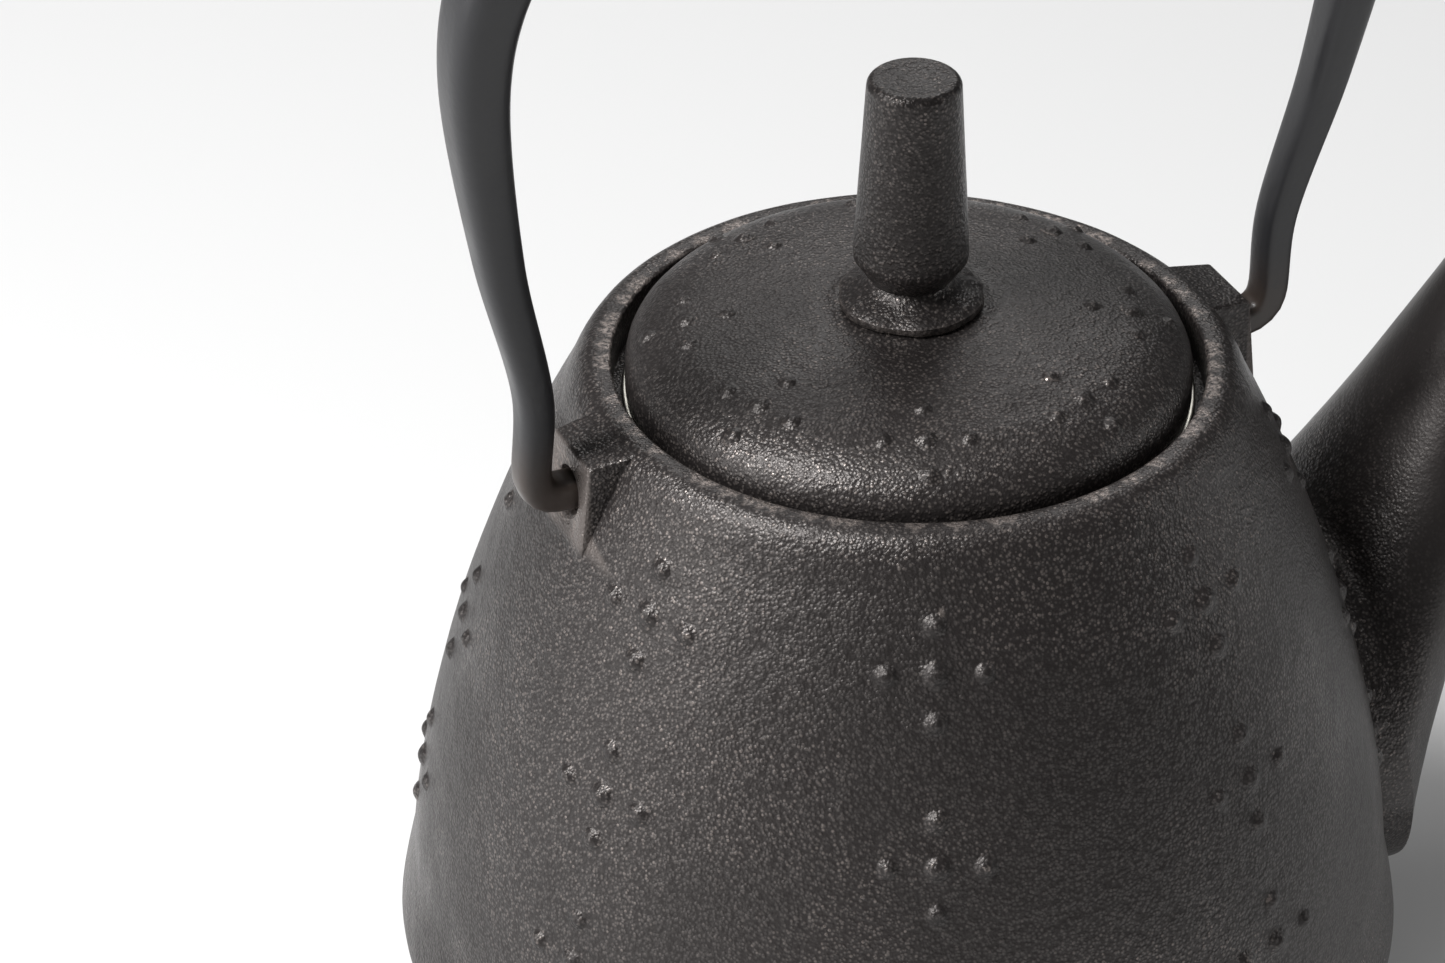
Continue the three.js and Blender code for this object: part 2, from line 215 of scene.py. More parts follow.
# How a cast surface wanders: the widths of its broad and its fine waves, and the fine ones' share.
SWELL_WAVES = {"broad": 17, "fine": 6, "fine_share": 0.45}

FLOOR_HALF = 6.0
LIGHT_AIM = (0, 0, 0.09)

# Each light's name, place, two sides, watts, and the angle of its beam in degrees.
SOFTBOXES = (
    ("left_window", (-1.9, 0.2, 0.68), (1.5, 1.15), 14.5, 150),
    ("left_high", (-0.8, -0.05, 1.15), (0.4, 0.4), 13, 130),
    ("overhead", (0, 0, 1.4), (0.4, 0.4), 1.1, 130),
    ("back_right", (0.6, 1.1, 1.0), (0.9, 0.6), 3.2, 150),
    ("right_strip", (1.1, -0.35, 0.35), (0.15, 0.4), 0.3, 90),
)


# ------------------------------------------------------------------ settings


class TeapotIronSettings(bpy.types.PropertyGroup):
    """Finish of the castings."""

    coat: bpy.props.FloatVectorProperty(
        name="Coat", description="Colour of the baked black-brown coat", subtype="COLOR",
        size=3, min=0, max=1, default=(0.0125, 0.0108, 0.0106),
    )
    worn: bpy.props.FloatVectorProperty(
        name="Worn Grains", description="Colour where the coat is rubbed thin", subtype="COLOR",
        size=3, min=0, max=1, default=(0.210, 0.182, 0.168),
    )
    grain_size: bpy.props.FloatProperty(
        name="Grain Size", description="Width of one pebble of the sand-cast skin",
        unit="LENGTH", precision=5, min=0.0001, default=0.50 * MM,
    )
    grain_depth: bpy.props.FloatProperty(
        name="Grain Depth", description="Height of the sand-cast skin from hollow to crest",
        unit="LENGTH", precision=5, min=0, default=0.125 * MM,
    )
    swell: bpy.props.FloatProperty(
        name="Swell", description="How far the cast surfaces wander from a true shape",
        unit="LENGTH", precision=5, min=0, default=0.10 * MM,
    )


class TeapotDotSettings(bpy.types.PropertyGroup):
    """Crosses of five raised dots on the body and the lid."""

    columns: bpy.props.IntProperty(
        name="Columns", description="Crosses round the pot, and round the lid", min=1, default=8,
    )
    rows: bpy.props.IntProperty(
        name="Rows", description="Crosses one below another on the body", min=1, default=3,
    )
    top_height: bpy.props.FloatProperty(
        name="Top Row", description="Height of the body's top row", unit="LENGTH", default=104.0 * MM,
    )
    row_step: bpy.props.FloatProperty(
        name="Row Step", description="Height from one row to the next", unit="LENGTH",
        default=24.2 * MM,
    )
    lid_ring: bpy.props.FloatProperty(
        name="Lid Ring", description="Radius of the ring of crosses on the lid", unit="LENGTH",
        default=30.0 * MM,
    )
    arm: bpy.props.FloatProperty(
        name="Arm", description="Middle dot to outer dot, on the body", unit="LENGTH",
        default=6.4 * MM,
    )
    lid_arm: bpy.props.FloatProperty(
        name="Lid Arm", description="Middle dot to outer dot, on the lid", unit="LENGTH",
        default=5.6 * MM,
    )
    radius: bpy.props.FloatProperty(
        name="Dot Radius", description="Radius of a body dot at its foot", unit="LENGTH",
        precision=5, default=1.75 * MM,
    )
    height: bpy.props.FloatProperty(
        name="Dot Height", description="How far a body dot stands out", unit="LENGTH",
        precision=5, default=0.85 * MM,
    )
    seed: bpy.props.IntProperty(
        name="Seed", description="Chooses the small differences between dots", default=4,
    )


class TeapotStrainerSettings(bpy.types.PropertyGroup):
    """Perforations of the strainer."""

    columns: bpy.props.IntProperty(
        name="Columns", description="Holes round the wall", min=8, default=90,
    )
    rows: bpy.props.IntProperty(
        name="Rows", description="Rings of holes in the wall", min=1, default=20,
    )
    pitch: bpy.props.FloatProperty(
        name="Pitch", description="Distance between neighbouring rows of holes", unit="LENGTH",
        precision=5, default=2.0 * MM,
    )
    hole_radius: bpy.props.FloatProperty(
        name="Hole Radius", description="Radius of one perforation", unit="LENGTH",
        precision=5, default=0.55 * MM,
    )


class TeapotStudioSettings(bpy.types.PropertyGroup):
    """Floor, light and camera."""

    floor: bpy.props.FloatVectorProperty(
        name="Floor", description="Colour of the pale floor", subtype="COLOR",
        size=3, min=0, max=1, default=(0.67, 0.67, 0.67),
    )
    sky: bpy.props.FloatProperty(
        name="Room Light", description="Brightness of the even light all round", min=0, default=0.08,
    )
    eye: bpy.props.FloatVectorProperty(
        name="Camera", description="Where the camera stands", subtype="TRANSLATION",
        size=3, default=(-0.2875, -0.5559, 0.5150),
    )
    aim: bpy.props.FloatVectorProperty(
        name="Aim", description="The point that the camera looks at", subtype="TRANSLATION",
        size=3, default=(-0.0053, 0.0478, 0.0723),
    )
    lens: bpy.props.FloatProperty(
        name="Lens", description="Focal length on a 36 mm wide sensor", unit="CAMERA", default=137.0,
    )


# ------------------------------------------------------------------ mesh helpers


def curve_points(start, pulls, end, steps):
    """Points (radius, height) along a cubic curve, without its first point."""
    p = np.array([start, *pulls, end], dtype=float)
    t = np.linspace(0, 1, steps + 1)[1:, None]
    points = (1 - t) ** 3 * p[0] + 3 * t * (1 - t) ** 2 * p[1] + 3 * t ** 2 * (1 - t) * p[2] + t ** 3 * p[3]
    return [tuple(point) for point in points]


def line_points(start, end, steps):
    """Points along a straight line, without its first point."""
    return [tuple(np.array(start) + (np.array(end) - start) * i / steps) for i in range(1, steps + 1)]


def arc_points(centre, radius, start_degrees, end_degrees, steps):
    """Points along an arc in the (radius, height) plane, with both ends."""
    angles = np.radians(np.linspace(start_degrees, end_degrees, steps + 1))
    return [(centre[0] + radius * math.cos(a), centre[1] + radius * math.sin(a)) for a in angles]


def new_object(name, data):
    """An object in the scene's own collection."""
    item = bpy.data.objects.new(name, data)
    bpy.context.scene.collection.objects.link(item)
    return item


def make_object(name, vertices, faces):
    """A mesh object from points in millimetres, linked to the scene, with its place in its mesh."""
    mesh = bpy.data.meshes.new(name)
    mesh.from_pydata([tuple(v) for v in np.array(vertices, dtype=float) * MM], [], faces)
    mesh.validate()
    return new_object(name, mesh)


def grid_faces(rows, columns, wrap_rows=False):
    """Quads between rings of vertices that each go once round."""
    faces = []
    for row in range(rows if wrap_rows else rows - 1):
        below = row * columns
        above = (row + 1) % rows * columns
        for i in range(columns):
            j = (i + 1) % columns
            faces.append((below + i, below + j, above + j, above + i))
    return faces


def turned(name, outline, segments):
    """A solid turned about Z from an outline listed with the solid on its left.

    The outline starts and ends on the axis, or closes on itself.
    """
    on_axis = outline[0][0] == 0
    rings = outline[1:-1] if on_axis else outline[:-1]
    angles = np.arange(segments) * 2 * math.pi / segments
    circle = np.stack([np.cos(angles), np.sin(angles)], axis=1)
    vertices = [(r * c, r * s, z) for r, z in rings for c, s in circle]
    faces = grid_faces(len(rings), segments, wrap_rows=not on_axis)
    if on_axis:
        bottom = len(vertices)
        vertices += [(0, 0, outline[0][1]), (0, 0, outline[-1][1])]
        last = (len(rings) - 1) * segments
        for i in range(segments):
            j = (i + 1) % segments
            faces.append((bottom, j, i))
            faces.append((bottom + 1, last + i, last + j))
    return make_object(name, vertices, faces)


def lofted(name, rings):
    """A closed solid through rings of equal point counts, with a flat cap at each end."""
    sides = len(rings[0])
    vertices = [point for ring in rings for point in ring]
    faces = grid_faces(len(rings), sides)
    last = (len(rings) - 1) * sides
    faces.append(tuple(reversed(range(sides))))
    faces.append(tuple(range(last, last + sides)))
    return make_object(name, vertices, faces)


def rod(name, radius, start, end, sides=64, end_radius=None):
    """A round rod or cone between two points."""
    axis = (Vector(end) - Vector(start)).normalized()
    turn = axis.to_track_quat("Z", "Y")
    rings = []
    for centre, r in ((start, radius), (end, radius if end_radius is None else end_radius)):
        angles = [2 * math.pi * i / sides for i in range(sides)]
        spokes = [turn @ Vector((r * math.cos(a), r * math.sin(a), 0)) for a in angles]
        rings.append([tuple(Vector(centre) + spoke) for spoke in spokes])
    return lofted(name, rings)


def remove(piece):
    """Takes a helper object out of the file."""
    mesh = piece.data
    bpy.data.objects.remove(piece)
    bpy.data.meshes.remove(mesh)


def evaluated_mesh(piece):
    """A plain mesh of what a piece's modifiers make of it."""
    graph = bpy.context.evaluated_depsgraph_get()
    return bpy.data.meshes.new_from_object(piece.evaluated_get(graph))


def bake_modifiers(piece):
    """Turns a piece and its modifiers into a plain mesh."""
    mesh = evaluated_mesh(piece)
    old = piece.data
    piece.modifiers.clear()
    piece.data = mesh
    bpy.data.meshes.remove(old)
    mesh.name = piece.name


def combine(piece, other, operation):
    """Joins another solid to a piece, or cuts the piece with it, and removes the other."""
    if len(other.data.polygons) == 0:
        raise RuntimeError(f"{other.name} has no faces, so {piece.name} can't be finished")
    modifier = piece.modifiers.new(operation.title(), "BOOLEAN")
    modifier.operation = operation
    modifier.solver = "MANIFOLD"
    modifier.object = other
    bake_modifiers(piece)
    remove(other)


def bevel(piece, width):
    """Rounds the sharp edges of a helper solid."""
    modifier = piece.modifiers.new("Bevel", "BEVEL")
    modifier.width = width * MM
    modifier.segments = 3
    modifier.limit_method = "ANGLE"
    modifier.angle_limit = math.radians(25)
    bake_modifiers(piece)


def smooth(piece):
    """Smooth shading, apart from the sharp edges."""
    piece.data.shade_smooth()
    piece.data.set_sharp_from_angle(angle=math.radians(SHARP_DEGREES))


def swell_surface(piece, depth, keep):
    """Moves the skin of a casting in and out a little; keep(x, y, z) from 0 to 1 holds it still."""
    mesh = piece.data
    normals = [vertex.normal.copy() for vertex in mesh.vertices]
    for vertex, normal in zip(mesh.vertices, normals):
        x, y, z = vertex.co / MM
        still = keep(x, y, z)
        if still < 1:
            broad = noise.noise(Vector((x, y, z)) / SWELL_WAVES["broad"])
            fine = noise.noise(Vector((x, y, z + 300)) / SWELL_WAVES["fine"])
            wander = broad + SWELL_WAVES["fine_share"] * fine
            vertex.co += normal * depth * (1 - still) * wander


def finish_piece(piece, body, nodes, material):
    """Gives a finished piece its material and its body, and hides the CAD nodes that it stands for."""
    piece.data.materials.clear()
    piece.data.materials.append(material)
    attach(piece, body)
    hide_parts(*nodes)


# ------------------------------------------------------------------ node helpers


class Nodes:
    """Adds nodes to a tree: inputs are given by name or number, as a value or a socket to link."""

    def __init__(self, tree):
        self.tree = tree

    def add(self, kind, inputs=None, **settings):
        node = self.tree.nodes.new(kind)
        for name, value in settings.items():
            setattr(node, name, value)
        for key, value in (inputs or {}).items():
            self.feed(node.inputs[key], value)
        return node

    def feed(self, socket, value):
        if isinstance(value, bpy.types.NodeSocket):
            self.tree.links.new(value, socket)
        else:
            socket.default_value = value

    def math(self, operation, first, second=0.0, clamp=False):
        inputs = {0: first, 1: second}
        return self.add("ShaderNodeMath", inputs, operation=operation, use_clamp=clamp).outputs[0]

    def plus(self, first, second):
        return self.math("ADD", first, second)

    def minus(self, first, second, clamp=False):
        return self.math("SUBTRACT", first, second, clamp)

    def times(self, first, second, clamp=False):
        return self.math("MULTIPLY", first, second, clamp)

    def over(self, first, second):
        return self.math("DIVIDE", first, second)

    def larger(self, first, second):
        return self.math("MAXIMUM", first, second)

    def whole_and_rest(self, number, size):
        """How many whole times a size goes into a number, and what is left over."""
        return self.math("FLOOR", self.over(number, size)), self.math("MODULO", number, size)

    def vector(self, operation, first, second=(0, 0, 0)):
        inputs = {0: first, 1: second}
        return self.add("ShaderNodeVectorMath", inputs, operation=operation).outputs[0]

    def measure(self, operation, first, second=(0, 0, 0)):
        inputs = {0: first, 1: second}
        return self.add("ShaderNodeVectorMath", inputs, operation=operation).outputs["Value"]

    def scaled(self, vector, amount):
        inputs = {0: vector, "Scale": amount}
        return self.add("ShaderNodeVectorMath", inputs, operation="SCALE").outputs[0]

    def point(self, x=0.0, y=0.0, z=0.0):
        return self.add("ShaderNodeCombineXYZ", {0: x, 1: y, 2: z}).outputs[0]

    def axes(self, vector):
        return self.add("ShaderNodeSeparateXYZ", {0: vector}).outputs

    def spoke(self, step, steps):
        """The level direction of one step out of so many round the axis."""
        turn = self.over(self.times(step, math.tau), steps)
        return self.point(self.math("COSINE", turn), self.math("SINE", turn))

    def choose(self, state, off, on):
        inputs = {0: state, 1: off, 2: on}
        return self.add("GeometryNodeSwitch", inputs, input_type="VECTOR").outputs[0]

    def object_place(self):
        return self.add("ShaderNodeTexCoord").outputs["Object"]

    def clouds(self, place, scale, detail, roughness=0.5):
        inputs = {"Vector": place, "Scale": scale, "Detail": detail, "Roughness": roughness}
        return self.add("ShaderNodeTexNoise", inputs).outputs["Fac"]

    def remap(self, value, low, high, to_low=0.0, to_high=1.0):
        inputs = {"Value": value, "From Min": low, "From Max": high, "To Min": to_low, "To Max": to_high}
        return self.add("ShaderNodeMapRange", inputs, interpolation_type="SMOOTHSTEP").outputs[0]

    def mix_colour(self, factor, first, second):
        return self.add("ShaderNodeMix", {0: factor, 6: first, 7: second}, data_type="RGBA").outputs[2]


def colour(values):
    """A colour as red, green, blue and alpha."""
    return (*values, 1.0)


SOCKET_KINDS = {bool: "NodeSocketBool", int: "NodeSocketInt", float: "NodeSocketFloat"}


def new_group(kind, name, inputs, outputs):
    """An empty node group with named inputs and outputs, and its helper and ends.

    Each input is given by its default, or by its socket's type where it has no default.
    """
    tree = bpy.data.node_groups.new(name, kind)
    for title, default in inputs.items():
        if isinstance(default, str):
            tree.interface.new_socket(name=title, in_out="INPUT", socket_type=default)
        else:
            socket = SOCKET_KINDS[type(default)]
            item = tree.interface.new_socket(name=title, in_out="INPUT", socket_type=socket)
            item.default_value = default
    result = "NodeSocketGeometry" if kind == "GeometryNodeTree" else "NodeSocketFloat"
    for title in outputs:
        tree.interface.new_socket(name=title, in_out="OUTPUT", socket_type=result)
    nodes = Nodes(tree)
    source = nodes.add("NodeGroupInput").outputs
    target = nodes.add("NodeGroupOutput").inputs
    return nodes, source, target


# ------------------------------------------------------------------ geometry node trees


def cast_ray(nodes, surface, start, direction, length):
    """Where a ray meets a surface, and the surface's normal there."""
    inputs = {
        "Target Geometry": surface,
        "Source Position": start,
        "Ray Direction": direction,
        "Ray Length": length,
    }
    return nodes.add("GeometryNodeRaycast", inputs).outputs


def plant(nodes, source, target, points, place, upright, copies):
    """Stands copies on points, makes them real, and gives them the tree's material."""
    placed = nodes.add("GeometryNodeSetPosition", {"Geometry": points, "Position": place})
    stand = nodes.add("FunctionNodeAlignRotationToVector", {"Vector": upright}, axis="Z")
    inputs = {"Points": placed.outputs[0], "Rotation": stand.outputs[0], **copies}
    planted = nodes.add("GeometryNodeInstanceOnPoints", inputs)
    real = nodes.add("GeometryNodeRealizeInstances", {0: planted.outputs[0]})
    inputs = {"Geometry": real.outputs[0], "Material": source["Material"]}
    nodes.feed(target[0], nodes.add("GeometryNodeSetMaterial", inputs).outputs[0])


@functools.cache
def dot_tree():
    """Crosses of five soft dots, dropped on a surface from the side or from above."""
    nodes, source, target = new_group("GeometryNodeTree", "Raised Dot Crosses", {
        "Surface": "NodeSocketGeometry",
        "Columns": 8,
        "Rows": 1,
        "From Above": False,
        "Start Radius": 0.1,
        "Top Height": 0.1,
        "Row Step": 0.02,
        "Arm": 0.006,
        "Dot Radius": 0.002,
        "Dot Height": 0.001,
        "Sink": 0.0001,
        "Seed": 0,
        "Material": "NodeSocketMaterial",
    }, ["Dots"])
    crosses = nodes.times(source["Columns"], source["Rows"])
    points = nodes.add("GeometryNodePoints", {"Count": nodes.times(crosses, 5.0)}).outputs[0]
    index = nodes.add("GeometryNodeInputIndex").outputs[0]
    cross, part = nodes.whole_and_rest(index, 5.0)
    row, column = nodes.whole_and_rest(cross, source["Columns"])

    outward = nodes.spoke(nodes.plus(column, 0.5), source["Columns"])
    height = nodes.minus(source["Top Height"], nodes.times(row, source["Row Step"]))
    start = nodes.vector("ADD", nodes.scaled(outward, source["Start Radius"]), nodes.point(z=height))
    aim = nodes.choose(source["From Above"], nodes.scaled(outward, -1.0), (0, 0, -1))
    first = cast_ray(nodes, source["Surface"], start, aim, 0.3)
    side = nodes.vector("NORMALIZE", nodes.vector("CROSS_PRODUCT", (0, 0, 1), first["Hit Normal"]))
    up = nodes.vector("CROSS_PRODUCT", first["Hit Normal"], side)

    def chosen(number):
        inputs = {0: part, 1: float(number), 2: 0.1}
        return nodes.add("ShaderNodeMath", inputs, operation="COMPARE").outputs[0]

    along_up = nodes.times(nodes.minus(chosen(1), chosen(2)), source["Arm"])
    along_side = nodes.times(nodes.minus(chosen(3), chosen(4)), source["Arm"])
    offset = nodes.vector("ADD", nodes.scaled(up, along_up), nodes.scaled(side, along_side))
    spot = nodes.vector("ADD", first["Hit Position"], offset)
    above = nodes.vector("ADD", spot, nodes.scaled(first["Hit Normal"], 0.01))
    second = cast_ray(nodes, source["Surface"], above, nodes.scaled(first["Hit Normal"], -1.0), 0.03)
    depth = nodes.scaled(second["Hit Normal"], source["Sink"])
    sunk = nodes.vector("SUBTRACT", second["Hit Position"], depth)
    random = nodes.add("FunctionNodeRandomValue", {2: 0.9, 3: 1.08, "Seed": source["Seed"]}).outputs[1]
    size = nodes.plus(random, nodes.times(chosen(0), 0.18))

    cone = nodes.add("GeometryNodeMeshCone", {
        "Vertices": 18,
        "Side Segments": 7,
        "Radius Top": 0.0,
        "Radius Bottom": source["Dot Radius"],
        "Depth": source["Dot Height"],
    })
    x, y, _ = nodes.axes(nodes.add("GeometryNodeInputPosition").outputs[0])
    flat = nodes.point(x, y)
    share = nodes.over(nodes.measure("LENGTH", flat), source["Dot Radius"])
    fall = nodes.minus(1.0, nodes.times(share, share), clamp=True)
    mound = nodes.times(nodes.math("POWER", fall, 1.35), source["Dot Height"])
    dot = nodes.add("GeometryNodeSetPosition", {
        "Geometry": cone.outputs["Mesh"],
        "Position": nodes.vector("ADD", flat, nodes.point(z=mound)),
    }).outputs[0]
    plant(nodes, source, target, points, sunk, second["Hit Normal"], {"Instance": dot, "Scale": size})
    return nodes.tree


@functools.cache
def drill_tree():
    """Staggered drills: round a wall in rings, or upright over a disc.

    Over a disc, a drill is kept by its distance from a point on the axis that climbs with its
    row, so only the front half of the disc is drilled.
    """
    nodes, source, target = new_group("GeometryNodeTree", "Perforation Drills", {
        "Geometry": "NodeSocketGeometry",
        "Upright": False,
        "Columns": 90,
        "Rows": 20,
        "Pitch": 0.002,
        "Start Height": 0.06,
        "Radius": 0.03,
        "Hole Radius": 0.0005,
        "Length": 0.003,
        "Material": "NodeSocketMaterial",
    }, ["Drills"])
    count = nodes.times(source["Columns"], source["Rows"])
    points = nodes.add("GeometryNodePoints", {"Count": count}).outputs[0]
    index = nodes.add("GeometryNodeInputIndex").outputs[0]
    row, column = nodes.whole_and_rest(index, source["Columns"])
    step = nodes.plus(column, nodes.times(nodes.math("MODULO", row, 2.0), 0.5))

    outward = nodes.spoke(step, source["Columns"])
    lift = nodes.point(z=nodes.plus(source["Start Height"], nodes.times(row, source["Pitch"])))
    on_wall = nodes.vector("ADD", nodes.scaled(outward, source["Radius"]), lift)

    def centred(value, total):
        return nodes.times(nodes.minus(value, nodes.times(total, 0.5)), source["Pitch"])

    across = nodes.times(centred(step, source["Columns"]), 1.15)
    on_disc = nodes.point(across, centred(row, source["Rows"]), source["Start Height"])
    place = nodes.choose(source["Upright"], on_wall, on_disc)
    axis = nodes.choose(source["Upright"], outward, (0, 0, 1))
    within = nodes.math("LESS_THAN", nodes.measure("DISTANCE", on_disc, lift), source["Radius"])
    on_sheet = nodes.larger(within, nodes.minus(1.0, source["Upright"]))
    drill = nodes.add("GeometryNodeMeshCylinder", {
        "Vertices": 8, "Radius": source["Hole Radius"], "Depth": source["Length"],
    }).outputs["Mesh"]
    plant(nodes, source, target, points, place, axis, {"Instance": drill, "Selection": on_sheet})
    return nodes.tree


def grown(name, host, tree, values):
    """A plain mesh of what a node tree makes on a host object, with its named inputs set."""
    piece = new_object(name, host.data)
    modifier = piece.modifiers.new(tree.name, "NODES")
    modifier.node_group = tree
    sockets = {item.name: item.identifier for item in tree.interface.items_tree if item.in_out == "INPUT"}
    for title, value in values.items():
        modifier[sockets[title]] = value
    mesh = evaluated_mesh(piece)
    piece.modifiers.clear()
    piece.data = mesh
    return piece


# ------------------------------------------------------------------ shader node groups


@functools.cache
def skin_group():
    """Sand-cast skin: pebbly height, broad patches, crests that take the rubbing, and bright grains."""
    nodes, source, target = new_group(
        "ShaderNodeTree", "Sand-Cast Skin", {"Grain Size": 0.001, "Patch Size": 0.03},
        ["Height", "Grit", "Crests", "Specks", "Patches"],
    )
    place = nodes.object_place()
    grain = nodes.over(1.0, source["Grain Size"])
    cells = nodes.add("ShaderNodeTexVoronoi", {"Vector": place, "Scale": grain}, feature="F1").outputs
    chance = nodes.add("ShaderNodeSeparateColor", {0: cells["Color"]}).outputs[0]
    sand = nodes.clouds(place, nodes.times(grain, 0.8), 3.0, 0.65)
    rolling = nodes.clouds(place, nodes.times(grain, 0.16), 2.0)
    patches = nodes.clouds(place, nodes.over(1.0, source["Patch Size"]), 3.0, 0.55)
    domes = nodes.remap(cells["Distance"], 0.75, 0.1)
    near = nodes.remap(cells["Distance"], 0.55, 0.2)
    grit = nodes.plus(nodes.times(domes, 0.45), sand)
    nodes.feed(target["Height"], nodes.plus(grit, nodes.times(rolling, 2.2)))
    nodes.feed(target["Grit"], grit)
    nodes.feed(target["Crests"], nodes.remap(grit, 0.74, 1.0))
    nodes.feed(target["Specks"], nodes.times(nodes.remap(chance, 0.8, 0.95), near))
    nodes.feed(target["Patches"], nodes.remap(patches, 0.38, 0.62))
    return nodes.tree


@functools.cache
def rubbed_group():
    """Rubbed edges: where a surface stands out sharply, broken up by a fine speckle."""
    nodes, source, target = new_group(
        "ShaderNodeTree", "Rubbed Edges", {"Start": 0.52, "Full": 0.6, "Speckle Size": 0.001}, ["Mask"],
    )
    sharp = nodes.add("ShaderNodeNewGeometry").outputs["Pointiness"]
    edge = nodes.remap(sharp, source["Start"], source["Full"])
    speckle = nodes.clouds(nodes.object_place(), nodes.over(1.0, source["Speckle Size"]), 3.0)
    nodes.feed(target["Mask"], nodes.times(edge, nodes.remap(speckle, 0.35, 0.62), clamp=True))
    return nodes.tree


@functools.cache
def lug_face_group():
    """The outer faces of both lugs, where the swinging handle rubs them, and the spout's own zone."""
    nodes, _, target = new_group("ShaderNodeTree", "Rubbed Lug Faces", {}, ["Mask", "Spout"])
    axes = nodes.axes(nodes.object_place())
    out = nodes.math("ABSOLUTE", axes[0])
    reach, foot, low = (LUG[key] * MM for key in ("reach", "foot_reach", "foot_height"))
    begin = nodes.remap(out, reach - 0.0004, reach)
    end = nodes.remap(out, foot + 0.0012, foot + 0.0004)
    above = nodes.remap(axes[2], low + 0.001, low + 0.003)
    nodes.feed(target["Mask"], nodes.times(nodes.times(begin, end), above))
    nodes.feed(target["Spout"], nodes.remap(axes[0], 0.060, 0.082))
    return nodes.tree


@functools.cache
def brushed_group():
    """Brushed sheet: fine level scratches as a height, and a slow cloudiness."""
    nodes, source, target = new_group(
        "ShaderNodeTree", "Brushed Sheet", {"Scratch Size": 0.0003}, ["Scratches", "Clouds"],
    )
    place = nodes.object_place()
    drawn = nodes.add("ShaderNodeMapping", {"Vector": place, "Scale": (0.04, 0.04, 1.0)}).outputs[0]
    nodes.feed(target["Scratches"], nodes.clouds(drawn, nodes.over(1.0, source["Scratch Size"]), 3.0))
    nodes.feed(target["Clouds"], nodes.remap(nodes.clouds(place, 90.0, 2.0), 0.35, 0.65))
    return nodes.tree


# ------------------------------------------------------------------ materials


# Pairs run from the dull patches of the skin to its bright ones.
IRON_FINISH = {
    "tint": (1.0, 0.94, 0.91),       # the coat's gloss is a little warm
    "patch_size": 0.034,
    "patch_brightness": 1.35,        # how much lighter the coat is in a bright patch
    "crest_wear": (0.06, 0.32),
    "speck_wear": (0.15, 0.8),
    "roughness": (0.42, 0.33),
    "edge_wear": {"Start": 0.522, "Full": 0.62, "Speckle Size": 0.0006},
    "lug_wear": 0.4,                 # where the handle rubs the lugs
    "worn_polish": 0.10,             # rubbed spots are less rough by this much
    "worn_metal": 0.75,
    # Painted shade: the specular level is low in the hollows of the grit and high on its crests, so the
    # hollows' reflections are dimmed.
    "gloss_with_hollow_shade": (0.3, 0.68),            # in the hollows of the grit, and on its crests
    "spout_gloss": 0.52,
    "spout_wear": 0.1,               # the spout's skin is less worn than the rest
    "spout_grain": 0.15,             # and smoother
}

ENAMEL_FINISH = {
    "shades": ((0.017, 0.017, 0.019), (0.023, 0.023, 0.025)),
    "rubbed": (0.050, 0.038, 0.032),
    "hook_fade": (0.001, 0.013),     # heights over the pivot between which the rubbing fades out
    "roughness": (0.34, 0.42),
    "grain_size": 0.0011,
    "patch_size": 0.02,
    "edge_wear": {"Start": 0.53, "Full": 0.62, "Speckle Size": 0.001},
    "ripple": 0.00002,
}


def new_material(name, settings):
    """A material with a Principled shader whose uniform values are set on its own sockets."""
    material = bpy.data.materials.new(name)
    material.use_nodes = True
    shader = material.node_tree.nodes["Principled BSDF"]
    for title, value in settings.items():
        shader.inputs[title].default_value = value
    return material, Nodes(material.node_tree), shader.inputs


def place_group(nodes, tree, values):
    """Places a node group in a material with its own values, and gives its outputs."""
    return nodes.add("ShaderNodeGroup", values, node_tree=tree).outputs


def raise_relief(nodes, shader, height, depth):
    """Tilts the shader's normal by a height that changes over the surface."""
    bump = nodes.add("ShaderNodeBump", {"Height": height, "Distance": depth, "Strength": 1.0})
    nodes.feed(shader["Normal"], bump.outputs[0])


